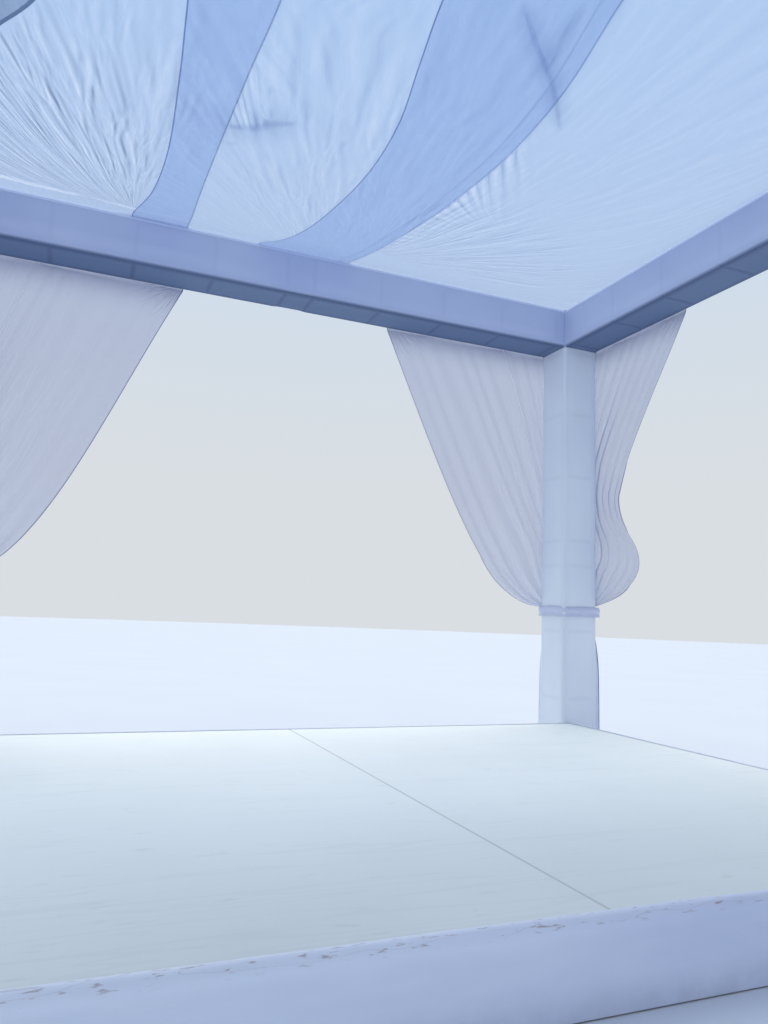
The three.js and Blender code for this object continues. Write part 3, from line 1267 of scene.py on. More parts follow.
@dataclass
class RoofCloth:
    """One length of voile that hangs from the back beam to the front beam.

    Attributes:
        name: The cloth's name, as in its CAD node.
        left: Its left edge, as X along Y.
        right: Its right edge.
        fan: Its long wrinkles.
        sizes: The frame's sizes.
        lift: Height of its cloth on the beams above their tops.
        puckers: The short wrinkles beside the seam of the cloth over it, if any.
        creases: Its creases.
        wide_hem: Width of the hem along the right edge, or 0 where it's as narrow as the others.
        folded: The line past which its end is folded over the beam, as Y along X, if it is.
        turned: The line to which its left edge is turned back, as X along Y, if it is.
        rise: The X from which it rises to lie over the next cloth, and how much it rises, if it does.
        finish: What it is made of.
        sag: How far its middle hangs below the beams' tops.
        edge_rise: How far from the side beams the sag starts to grow less.
        cell: Side of the grid's faces.
        least_slack: How strong its long wrinkles are outside the fan.
    """

    name: str
    left: SmoothLine
    right: SmoothLine
    fan: Fan
    sizes: FrameSizes
    lift: float = 0.0033
    puckers: Puckers | None = None
    creases: tuple[Crease, ...] = ()
    wide_hem: float = 0.0
    folded: SmoothLine | None = None
    turned: SmoothLine | None = None
    rise: Pair | None = None
    finish: Finishes = Finishes.ROOF
    sag: float = 0.36
    edge_rise: float = 0.9
    cell: float = 0.018
    least_slack: float = 0.12

    def height(self, x: float, y: float) -> float:
        """The height of the roof's plain surface, as in the CAD model.

        Args:
            x: Place across the roof.
            y: Place along the roof.

        Returns:
            The height.
        """
        inner = self.sizes.inner
        along = min(1.0, max(0.0, (y + inner) / (2 * inner)))
        away = min(1.0, max(0.0, (inner - abs(x)) / self.edge_rise))
        lift = self.lift
        if self.rise is not None:
            lift += self.rise[1] * smooth_step(x, self.rise[0], self.rise[0] + 0.17)
        return self.sizes.top + lift - self.sag * 4 * along * (1 - along) * (1 - (1 - away) ** 2)

    def wrinkle(self, x: float, y: float, pull: Pair, slack: float) -> float:
        """How far the wrinkles lift the cloth: not on the beams, and fully a hand away from them.

        Args:
            x: Place across the roof.
            y: Place along the roof.
            pull: The place across and along the fan's wrinkles.
            slack: How strong they are.

        Returns:
            The lift.
        """
        long_waves = 0.0014 * grain(x * 14.0, y * 1.1) + 0.003 * grain(x * 3.0, y * 1.6, 2.0)
        fanned = 0.003 * slack * grain(pull[0] * 15.0, pull[1] * 6.0, 5.0)
        return (long_waves + fanned) * smooth_step(self.sizes.inner - max(abs(x), abs(y)), 0.0, 0.12)

    @property
    def size(self) -> Pair:
        """The width and the length of the cloth seen from above, at the beams."""
        half = self.sizes.half
        return self.right.across(half) - self.left.across(half), 2 * half

    def past_stitching(self, x: float, y: float, from_right: float) -> float:
        """How far a place lies past the stitching of the wide hem, or of the edge that is turned back.

        Args:
            x: Place across the roof.
            y: Place along the roof.
            from_right: Distance from the right edge of the flat cloth.

        Returns:
            The distance, below 0 before the stitching.
        """
        if self.turned is not None:
            return self.turned.across(y) - x
        return self.wide_hem - from_right if self.wide_hem else -1.0

    def point(self, u: float, v: float) -> ClothPoint:
        """The cloth's point at a share of its width and of its length.

        Args:
            u: Share of its width.
            v: Share of its length.

        Returns:
            The cloth's point there.
        """
        y = mixed(-self.sizes.half, self.sizes.half, v)
        x = mixed(self.left.across(y), self.right.across(y), u)
        pull, slack = self.fan.at(x, y)
        pucker, puckered, pleat = self.puckers.at(x, y) if self.puckers else ((0.0, 0.0), 0.0, 0.0)
        width, length = self.size
        turned = self.past_stitching(x, y, (1 - u) * width)
        smoothed = mixed(1.0, 0.15, smooth_step(turned, -0.05, 0.02)) if self.turned else 1.0
        return ClothPoint(
            place=Vector((x, y, self.height(x, y) + self.wrinkle(x, y, pull, slack))),
            cut=(u * width, v * length),
            pull=pull,
            pucker=pucker,
            edge=min(u * width, (1 - u) * width, v * length, (1 - v) * length),
            slack=max(self.least_slack, slack) * smoothed,
            puckered=0.6 * puckered,
            pleat=pleat,
            pleated=puckered,
            dense=0.7 * smooth_step(max(abs(x), abs(y)) - self.sizes.inner, 0.02, 0.05),
            fold=abs(y) - self.folded.across(x) if self.folded else -1.0,
            turned=turned,
            crease=min((crease.distance((x, y)) for crease in self.creases), default=1.0),
        )

    def build(self) -> None:
        width, length = self.size
        cells = round(width / self.cell), round(length / self.cell)
        bm = turned_out(cloth_mesh(cells, self.point), Vector((0, 0, 1)))
        cloth = add_piece(f"roof_voile_{self.name}", bm, self.finish, f"roof_cloth_{self.name}")


@dataclass
class Roof:
    """Three voile cloths: the right one lies on the beams, and each other laps over the one to its right.

    Attributes:
        sizes: The frame's sizes.
        layer: How much higher each cloth lies on the beams than the one below it.
    """

    sizes: FrameSizes
    layer: float = 0.0083

    def edge(self, front: float, between: Sequence[Pair], back: float) -> SmoothLine:
        """An edge of a cloth as X along Y, with its X at the front and at the back of the frame."""
        half = self.sizes.half
        return SmoothLine(((-half, front), *between, (half, back)))

    def left(self, seam: SmoothLine) -> RoofCloth:
        """The uppermost cloth, with its outer edge turned back and one end folded over the back beam.

        Args:
            seam: Its right edge, over the middle cloth.

        Returns:
            The cloth, ready to build.
        """
        half = self.sizes.half
        folded = ((-2.3, 1.98), (-1.86, 1.96), (-1.57, 1.90), (-1.44, 1.86), (-1.32, 1.91), (-1.22, 1.99))
        turned = ((-1.5, -1.85), (-0.7, -1.52), (0.0, -1.645), (0.42, -1.835), (0.9, -2.06), (1.5, -2.30))
        return RoofCloth(
            "left",
            left=self.edge(-half, (), -half),
            right=seam,
            fan=Fan(x=-1.20, y=2.10, lean=-1.0, reach=2.8, strength=0.9),
            sizes=self.sizes,
            folded=SmoothLine(folded),
            turned=self.edge(-2.40, turned, -2.40),
            rise=(-1.385, 2 * self.layer),
            finish=Finishes.ROOF_TURNED,
        )

    def middle(self, left_seam: SmoothLine, seam: SmoothLine) -> RoofCloth:
        """The middle cloth, pinched beside the seam of the left one.

        Args:
            left_seam: The left cloth's right edge.
            seam: Its own right edge, over the right cloth.

        Returns:
            The cloth, ready to build.
        """
        left = (
            (-1.3, -1.215), (-0.24, -1.169), (0.15, -1.145), (0.82, -1.120), (1.43, -1.142), (2.02, -1.206),
        )
        pinch = (
            (-0.95, 0.45), (-0.855, 0.425), (-0.78, 0.396), (-0.725, 0.334), (-0.583, 0.251), (-0.3, 0.15),
        )
        pleats = (
            (-0.3, 0.0), (-0.19, 1.0), (-0.079, 2.0), (0.02, 3.0), (0.128, 4.0), (0.206, 5.0), (0.6, 10.0),
        )
        puckers = Puckers(
            left_seam,
            slants=SmoothLine(((-0.2, 1.0), (-0.08, 1.15), (0.02, 2.5), (0.21, 2.4), (0.4, 1.7))),
            pleats=SmoothLine(pleats),
            strengths=SmoothLine(((-0.35, 0.0), (-0.1, 0.5), (0.05, 0.9), (0.3, 0.8), (0.45, 0.0))),
            end=SmoothLine(pinch),
        )
        creases = (
            Crease(pinch[:-1], 2.8),
            Crease(((-0.899, 0.601), (-0.806, 0.554))),
            Crease(((0.143, -0.79), (0.15, -0.66), (0.186, -0.515), (0.20, -0.40))),
        )
        return RoofCloth(
            "middle",
            left=self.edge(-1.215, left, -1.215),
            right=seam,
            fan=Fan(x=0.10, y=2.45, lean=-1.0, reach=4.2, strength=0.36, spread=0.55),
            sizes=self.sizes,
            lift=RoofCloth.lift + self.layer,
            puckers=puckers,
            creases=creases,
            wide_hem=0.08,
        )

    def right(self, middle_seam: SmoothLine) -> RoofCloth:
        """The lowest and widest cloth, puckered beside the seam of the middle one.

        Args:
            middle_seam: The middle cloth's right edge.

        Returns:
            The cloth, ready to build.
        """
        half = self.sizes.half
        left = (
            (-1.60, -0.42), (-0.60, -0.335), (-0.31, -0.288), (0.06, -0.219), (0.50, -0.193), (1.05, -0.213),
            (1.62, -0.255), (1.93, -0.312), (2.04, -0.356),
        )
        slants = (
            (-0.2, 1.45), (0.30, 1.36), (0.49, 0.97), (0.67, 0.47), (0.84, 0.0), (1.07, -0.16), (1.6, -1.4),
        )
        pleat_starts = (-0.05, 0.067, 0.182, 0.30, 0.39, 0.488, 0.575, 0.665, 0.75, 0.839)
        pleats = [(y, float(number)) for number, y in enumerate(pleat_starts)]
        strengths = (
            (-0.25, 0.0), (-0.08, 0.25), (0.067, 1.0), (0.30, 0.95), (0.49, 0.8), (0.67, 0.5), (0.84, 0.45),
            (1.3, 0.35), (1.7, 0.0),
        )
        puckers = Puckers(
            middle_seam,
            slants=SmoothLine(slants),
            pleats=SmoothLine(((-0.3, -2.2), *pleats, (1.07, 12.0), (1.7, 19.0))),
            strengths=SmoothLine(strengths),
        )
        crossing = ((-0.075, -0.705), (0.065, -0.575), (0.245, -0.425), (0.345, -0.315), (0.455, -0.185))
        return RoofCloth(
            "right",
            left=self.edge(-0.40, left, -0.450),
            right=self.edge(half, (), half),
            fan=Fan(x=0.25, y=1.80, lean=1.0, reach=1.7, strength=0.7),
            sizes=self.sizes,
            puckers=puckers,
            creases=(Crease(crossing, 1.2),),
        )

    def build(self) -> None:
        """Makes the three cloths."""
        left = (
            (-1.40, -0.83), (-0.38, -0.855), (0.06, -0.882), (0.65, -0.897), (1.25, -0.892), (2.01, -0.859),
        )
        left_seam = self.edge(-0.845, left, -0.845)
        middle = (
            (-1.80, 0.20), (-0.84, 0.267), (-0.40, 0.328), (0.07, 0.345), (0.50, 0.322), (1.10, 0.285),
            (1.50, 0.280),
        )
        middle_seam = self.edge(0.20, middle, 0.285)
        for cloth in (self.left(left_seam), self.middle(left_seam, middle_seam), self.right(middle_seam)):
            cloth.build()


# Curtains


@dataclass(frozen=True)
class Line:
    """A line through points in one side's plane, each a distance from the frame's corner and a height."""

    points: tuple[Pair, ...]

    def at(self, share: float) -> Pair:
        """The point that lies this share of the line's length along it.

        Args:
            share: The share, from 0 to 1.

        Returns:
            The point.
        """
        pairs = list(zip(self.points, self.points[1:]))
        lengths = [math.dist(a, b) for a, b in pairs]
        left = share * sum(lengths)
        for (a, b), length in zip(pairs, lengths):
            if left <= length:
                return mixed(a[0], b[0], left / length), mixed(a[1], b[1], left / length)
            left -= length
        return self.points[-1]


def bezier(start: Pair, first: Pair, second: Pair, end: Pair, steps: int = 24) -> list[Pair]:
    """The points of a cubic curve after its start.

    Args:
        start: Where the curve starts.
        first: Its first handle.
        second: Its second handle.
        end: Where it ends.
        steps: How many points it gets.

    Returns:
        The points.
    """
    points = []
    for i in range(1, steps + 1):
        t = i / steps
        weights = ((1 - t) ** 3, 3 * t * (1 - t) ** 2, 3 * t * t * (1 - t), t**3)
        spots = (start, first, second, end)
        points.append(tuple(sum(w * p[k] for w, p in zip(weights, spots)) for k in (0, 1)))
    return points


class Sweep(Enum):
    """How a curtain's free edge goes from the beam to the tie, and how far it swells outwards above it."""

    TIGHT = 0.018
    SLACK = 0.032


@dataclass
class Curtain:
    """One voile curtain, hung flat on a beam's outer face, swept to the post and tied.

    Attributes:
        name: The curtain's name, as in its CAD node.
        corner: The frame's outer corner that it hangs at, on the ground.
        along: The direction from that corner along the side.
        out: The direction out of the canopy.
        reach: How far along the beam it hangs.
        sweep: How its free edge goes to the tie.
        sizes: The frame's sizes.
        folds: How many folds it hangs in.
        tie_share: How much of its length lies above the tie.
        clear: How far it hangs off the beam's outer face.
        deepest: Half the depth of its deepest folds.
        tied: Half their depth at the tie.
        inset: How far from the corner its post edge hangs.
        near_tied: How far from the corner its post edge is tied.
        free_tied: How far from the corner its free edge is tied.
        straight: Height above the tie's middle up to which both edges are straight.
        foot: Height of its lower end.
        cut_length: Its length before it was hung.
        cover: How much of the view one layer of it covers.
    """

    name: str
    corner: Vector
    along: Vector
    out: Vector
    reach: float
    sweep: Sweep
    sizes: FrameSizes
    folds: int = 11
    tie_share: float = 0.72
    clear: float = 0.0035
    deepest: float = 0.032
    tied: float = 0.016
    inset: float = 0.02
    near_tied: float = 0.085
    free_tied: float = 0.225
    straight: float = 0.04
    foot: float = 0.015
    cut_length: float = 3.65
    cover: float = 0.5

    @cached_property
    def free_edge(self) -> Line:
        """The free edge from the beam's top to the tie, the same curve as in the CAD model."""
        top = (self.reach, self.sizes.clear)
        end = (self.free_tied, TIE_HEIGHT + self.straight)
        points = [(self.reach, self.sizes.top), top]
        if self.sweep is Sweep.TIGHT:
            points += bezier(top, (self.reach - 0.5, 2.11), (0.80, 1.00), end)
        else:
            knee, belly = (0.54, 1.95), (0.75, 1.42)
            points += bezier(top, (self.reach - 0.25, 2.78), (0.70, 2.35), knee)
            points += bezier(knee, (0.525, 1.70), (0.765, 1.62), belly)
            points += bezier(belly, (0.745, 1.29), (0.52, 1.16), end)
        return Line((*points, (self.free_tied, TIE_HEIGHT)))

    @cached_property
    def post_edge(self) -> Line:
        """The edge along the post, from the beam's top to the tie."""
        bend = (self.inset, TIE_HEIGHT + 0.54)
        end = (self.near_tied, TIE_HEIGHT + self.straight)
        return Line(((self.inset, self.sizes.top), bend, end, (self.near_tied, TIE_HEIGHT)))

    def below(self, v: float) -> float:
        """How much of the free tail lies above a place, from 0 at the tie to 1 at the lower end."""
        return max(0.0, (v - self.tie_share) / (1 - self.tie_share))

    def row(self, v: float) -> tuple[Pair, Pair]:
        """The two ends of one row of threads, on the post's edge and on the free edge.

        Args:
            v: Share of its length, from the top.

        Returns:
            Each end as a distance from the corner and a height.
        """
        if v <= self.tie_share:
            share = v / self.tie_share
            return self.post_edge.at(share), self.free_edge.at(share)
        share = self.below(v)
        flare = smooth_step(share, 0.0, 0.5) * 0.6 + share * 0.4
        height = mixed(TIE_HEIGHT, self.foot, share)
        return (mixed(self.near_tied, 0.07, flare), height), (mixed(self.free_tied, 0.29, flare), height)

    def fold_turn(self, u: float, v: float) -> tuple[float, float]:
        """The turn of the folds at a place on the cloth, and how deep this fold is, up to 1.

        Args:
            u: Share of its width.
            v: Share of its length.

        Returns:
            The turn in radians, and the depth.
        """
        drift = 0.75 * grain(u * 4.3, v * 0.8, self.reach + self.corner.x)
        drift += 0.12 * grain(u * 9.0, v * 3.5, self.corner.y)
        turn = 2 * math.pi * (self.folds * u + drift)
        uneven = 0.62 + 0.5 * grain(u * self.folds * 0.55, v * 1.1, self.corner.x - self.reach)
        return turn, min(1.0, max(0.15, uneven))

    def layers(self, squeezed: float, turn: float) -> float:
        """How much denser the cloth looks where it is squeezed into folds, from 0 to 1.

        Args:
            squeezed: How narrow it is there, as a share of its flat width.
            turn: The folds' turn there.

        Returns:
            The share by which it is denser.
        """
        crowd = min(6.0, 1 / max(squeezed, 0.05)) - 1
        count = 1 + 0.62 * crowd * (0.35 + 1.3 * abs(math.cos(turn)))
        covered = 1 - (1 - self.cover) ** count
        return min(1.0, max(0.0, (covered - self.cover) / (1 - self.cover)))

    def heading(self, height: float) -> float:
        """How much denser the cloth is where its heading hangs under the beam's edge or lies on the beam."""
        hangs = 0.45 * smooth_step(height, self.sizes.clear - 0.16, self.sizes.clear)
        return hangs + 0.4 * smooth_step(height, self.sizes.clear + 0.03, self.sizes.clear + 0.06)

    def gathers(self, distance: float, height: float) -> tuple[Pair, float]:
        """Short wrinkles that fan out from where the free edge is pinned to the beam, and their strength.

        Args:
            distance: Distance from the corner.
            height: Height above the ground.

        Returns:
            A place whose first number runs across them, and the strength from 0 to 1.
        """
        aside, down = self.reach - distance, self.sizes.clear + 0.05 - height
        far = math.hypot(aside, down)
        strong = (1 - smooth_step(far, 0.1, 0.42)) * smooth_step(down, 0.0, 0.06)
        return (math.atan2(aside, max(down, 1e-3)) * 0.7, 0.3 * far), 0.55 * strong

    def point(self, u: float, v: float) -> ClothPoint:
        """The cloth's point at a share of its width, from the post, and of its length, from the top.

        Args:
            u: Share of its width.
            v: Share of its length.

        Returns:
            The cloth's point there.
        """
        near, free = self.row(v)
        wide = math.dist(near, free)
        power = mixed(min(2.0, max(1.0, self.reach / wide)), 1.15, smooth_step(self.below(v), 0.0, 0.6))
        share = u**power
        distance, height = mixed(near[0], free[0], share), mixed(near[1], free[1], share)
        squeezed = min(1.0, wide * power * max(u, 1e-3) ** (power - 1) / self.reach)
        turn, uneven = self.fold_turn(u, v)
        from_top = self.sizes.top - height
        deep = mixed(self.tied, self.deepest, smooth_step(abs(height - TIE_HEIGHT), 0.0, 0.35))
        swing = min(deep, 0.3 * self.reach / self.folds * math.sqrt(1 - squeezed * squeezed)) * uneven
        swing *= smooth_step(from_top, 0.06, 0.5)
        bulge = math.exp(-(((height - 1.45) / 0.3) ** 2))
        puff = smooth_step(u, 0.35, 1.0) * bulge * smooth_step(wide, 0.2, 0.5)
        off = self.clear + swing * (1 + math.sin(turn)) + self.sweep.value * puff
        off += 0.004 * (1 + grain(u * 5.0, v * 9.0, 3.0)) * smooth_step(from_top, 0.02, 0.4)
        cut = (u * self.reach, v * self.cut_length)
        pull, gather = self.gathers(distance, height)
        over_beam = height - self.sizes.clear
        return ClothPoint(
            place=self.corner + self.along * distance + self.out * off + Vector((0, 0, height)),
            cut=cut,
            pull=pull,
            pucker=(cut[0], cut[1] * 0.16),
            edge=min(cut[0], self.reach - cut[0], cut[1], self.cut_length - cut[1]),
            slack=gather,
            puckered=0.55 * (1 - squeezed) + 0.5 * smooth_step(over_beam, 0.01, 0.1),
            dense=min(1.0, self.layers(squeezed, turn) + 0.2 * puff + self.heading(height)),
            # Painted shadow of the beam: the crease number is least at the beam's lower edge, so the curtain
            # gets painted shade there, fading out about 25 cm below and 3 cm above.
            crease=0.008 + max(-0.25 * over_beam, 2.0 * over_beam),
        )

    def build(self) -> None:
        bm = turned_out(cloth_mesh((self.folds * 15, 130), self.point), self.out)
        cloth = add_piece(f"curtain_voile_{self.name}", bm, Finishes.CURTAIN, f"curtain_{self.name}")


# Width of each curtain, by the end of its side that it hangs at.
CURTAIN_WIDTHS = {"left": 1.60, "right": 1.72, "front": 1.29, "back": 1.29}


@dataclass(frozen=True)
class Side:
    """One side of the canopy.

    Attributes:
        name: The side's name.
        turn: Turns the back side to this one.
        left_end: Where its left end as seen from inside lies on the canopy.
        right_end: Where its right end lies.
    """

    name: str
    turn: float
    left_end: str
    right_end: str

    def curtains(self, sizes: FrameSizes) -> list[Curtain]:
        """The side's two curtains.

        Args:
            sizes: The frame's sizes.

        Returns:
            The curtains, ready to build.
        """
        spin = Matrix.Rotation(self.turn, 4, "Z")
        across = self.name in ("back", "front")
        return [
            Curtain(
                name=f"{self.name}_{end}",
                corner=spin @ Vector((sign * sizes.half, sizes.half, 0)),
                along=spin @ Vector((-sign, 0, 0)),
                out=spin @ Vector((0, 1, 0)),
                reach=CURTAIN_WIDTHS[end],
                sweep=Sweep.TIGHT if across else Sweep.SLACK,
                sizes=sizes,
            )
            for sign, end in ((-1, self.left_end), (1, self.right_end))
        ]


SIDES = (
    Side("back", 0.0, "left", "right"),
    Side("left", math.pi / 2, "front", "back"),
    Side("front", math.pi, "right", "left"),
    Side("right", -math.pi / 2, "back", "front"),
)


@dataclass
class TieBand:
    """A strip of sateen tied round a post and the two curtains beside it, with a knot and two short ends.

    Attributes:
        name: The corner's name.
        centre: The middle of the post, on the ground.
        turn: Turns the back left corner's band to this corner.
        sizes: The frame's sizes.
        strip: Width of the strip.
        strip_length: Length of the strip round the post.
        curtains: Room for the curtains between the post and the strip.
        loose: Room between the post and the strip where no curtain hangs.
        corners: How square the loop is.
        tail: How far the two ends hang below the knot.
        end_size: Width and length of each end.
        thickness: Thickness of the folded cloth.
    """

    name: str
    centre: Vector
    turn: float
    sizes: FrameSizes
    strip: float = 0.075
    strip_length: float = 1.45
    curtains: float = 0.042
    loose: float = 0.003
    corners: float = 9.0
    tail: float = 0.34
    end_size: Pair = (0.05, 0.35)
    thickness: float = 0.002

    def loop(self, share: float) -> tuple[Vector, Vector]:
        """A point of the band's middle line, from the knot round to it again, and the way out of the loop.

        Args:
            share: Share of the way round.

        Returns:
            The point and the direction, both seen from above.
        """
        inner = self.sizes.section / 2 + self.loose
        outer = self.sizes.section / 2 + self.curtains
        low, high = Vector((-outer, -inner)), Vector((inner, outer))
        angle = 2 * math.pi * share + 3 * math.pi / 4
        facing = Vector((math.cos(angle), math.sin(angle)))
        half = (high - low) / 2
        x_share, y_share = abs(facing.x / half.x), abs(facing.y / half.y)
        size = (x_share**self.corners + y_share**self.corners) ** (-1 / self.corners)
        square = Vector((facing.x, 0)) if x_share > y_share else Vector((0, facing.y))
        out = (square.normalized() + facing * 0.4).normalized()
        return (low + high) / 2 + facing * size, out

    def band_point(self, u: float, v: float) -> ClothPoint:
        """The band's point at a share of its way round and of its width.

        Args:
            u: Share of the way round.
            v: Share of its width.

        Returns:
            The cloth's point there.
        """
        point, out = self.loop(u)
        gathered = mixed(0.35, 1.0, smooth_step(min(u, 1 - u), 0.0, 0.12))
        across = (v - 0.5) * self.strip * gathered
        crumple = 0.003 * grain(u * 30.0, v * 6.0, self.turn) + 0.0035 * math.cos(v * 3 * math.pi)
        place = point + out * (crumple + 0.004)
        sink = 0.010 * grain(u * 5.0, self.turn)
        spot = Vector((place.x, place.y, TIE_HEIGHT + across + sink))
        return ClothPoint(spot, (u * self.strip_length, v * self.strip))

    def tail_point(self, side: float, u: float, v: float) -> ClothPoint:
        """The point of one short end at a share of its width and of its length, on the side -1 or 1.

        Args:
            side: -1 or 1, for the end's side.
            u: Share of its width.
            v: Share of its length.

        Returns:
            The cloth's point there.
        """
        knot, out = self.loop(0.0)
        aside = Vector((-out.y, out.x))
        width = mixed(0.022, self.end_size[0], smooth_step(v, 0.0, 0.6))
        lean = side * (0.018 + 0.05 * v + 0.012 * math.sin(v * 5.0))
        fold = 0.008 * math.sin((u * 2 + side) * math.pi) * (1 - 0.4 * v)
        swing = 0.022 + fold + 0.01 * math.sin(v * 4.0 + side)
        spot = knot + aside * (lean + (u - 0.5) * width) + out * swing
        return ClothPoint(Vector((spot.x, spot.y, TIE_HEIGHT - 0.012 - v * self.tail)), (u * 0.06, v))

    def knot(self, place: Matrix) -> Piece:
        """The knot: a small ball of cloth, drawn in where the strip turns through it.

        Args:
            place: Puts it at its post.

        Returns:
            The piece.
        """
        at, out = self.loop(0.0)
        bm = bmesh.new()
        bmesh.ops.create_icosphere(bm, subdivisions=4, radius=0.5)
        for vert in bm.verts:
            turn = math.atan2(vert.co.z, vert.co.x)
            vert.co *= 1 + 0.09 * math.sin(5 * turn + 6 * vert.co.y) + 0.08 * grain(*(vert.co * 3))
        map_corners(bm, "Cut", lambda point: (point.x * 0.1, point.z * 0.1))
        bmesh.ops.scale(bm, vec=(0.062, 0.042, 0.052), verts=bm.verts)
        spin = Matrix.Rotation(math.atan2(out.y, out.x) - math.pi / 2, 4, "Z")
        home = Matrix.Translation(Vector((*(at + out * 0.012), TIE_HEIGHT))) @ spin
        bmesh.ops.transform(bm, matrix=place @ home, verts=bm.verts)
        return add_piece(f"tie_knot_{self.name}", bm, Finishes.TIE)

    def strip_of(self, kind: str, bm: BMesh, place: Matrix, *replaced: str) -> Piece:
        """Makes a strip of folded cloth from a sheet about the origin, and puts it in place.

        Args:
            kind: The start of the piece's name.
            bm: The sheet.
            place: Puts it at its post.
            *replaced: The CAD nodes that it stands for.

        Returns:
            The piece.
        """
        bmesh.ops.transform(bm, matrix=place, verts=bm.verts)
        piece = add_piece(f"{kind}_{self.name}", bm, Finishes.TIE, *replaced)
        solid = piece.modifiers.new("cloth", "SOLIDIFY")
        solid.thickness = self.thickness
        solid.offset = 0.0
        return piece

    def build(self) -> None:
        """Makes the band, its knot and its two ends."""
        place = Matrix.Translation(self.centre) @ Matrix.Rotation(self.turn, 4, "Z")
        knot = self.knot(place)
        bm = cloth_mesh((180, 10), self.band_point)
        band = self.strip_of("tie_strip", bm, place, f"tie_band_{self.name}")
        for side, word in ((-1.0, "left"), (1.0, "right")):
            bm = cloth_mesh((10, 30), partial(self.tail_point, side))
            end = self.strip_of(f"tie_end_{word}", bm, place)


# Stage


@dataclass
class StagePanel:
    """One board of the stage under white felt, with a rounded edge where the felt turns down.

    Attributes:
        node: The CAD node that it stands for.
        edge: Radius of its free top edges.
        joint: Radius of its edge at the joint.
        waves: How far the felt rises and falls.
        sunk: How far it lies below the board's top in the middle.
    """

    node: str
    edge: float = 0.024
    joint: float = 0.006
    waves: float = 0.0004
    sunk: float = 0.0005

    def build(self) -> None:
        """Makes the panel."""
        low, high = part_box(self.node)
        middle, size = (low + high) / 2, high - low
        joint_x = -math.copysign(size.x / 2, middle.x)
        bm = bmesh.new()
        bmesh.ops.create_cube(bm, size=1.0)
        bmesh.ops.scale(bm, vec=size, verts=bm.verts)
        for at_joint, radius in ((False, self.edge), (True, self.joint)):
            top = [e for e in bm.edges if all(v.co.z > size.z / 2 - 1e-5 for v in e.verts)]
            edges = [e for e in top if all(abs(v.co.x - joint_x) < 1e-5 for v in e.verts) == at_joint]
            round_off(bm, edges, radius, 4)
        cut_across(bm, 0, even_steps(-size.x / 2, size.x / 2, 40))
        cut_across(bm, 1, even_steps(-size.y / 2, size.y / 2, 56))
        for vert in bm.verts:
            if vert.co.z > size.z / 2 - 0.001:
                place = vert.co + middle
                vert.co.z += self.waves * grain(place.x * 1.1, place.y * 1.1) - self.sunk
        bmesh.ops.translate(bm, vec=middle, verts=bm.verts)
        bmesh.ops.recalc_face_normals(bm, faces=bm.faces)
        add_piece(f"felt_{self.node}", bm, Finishes.FELT, self.node)


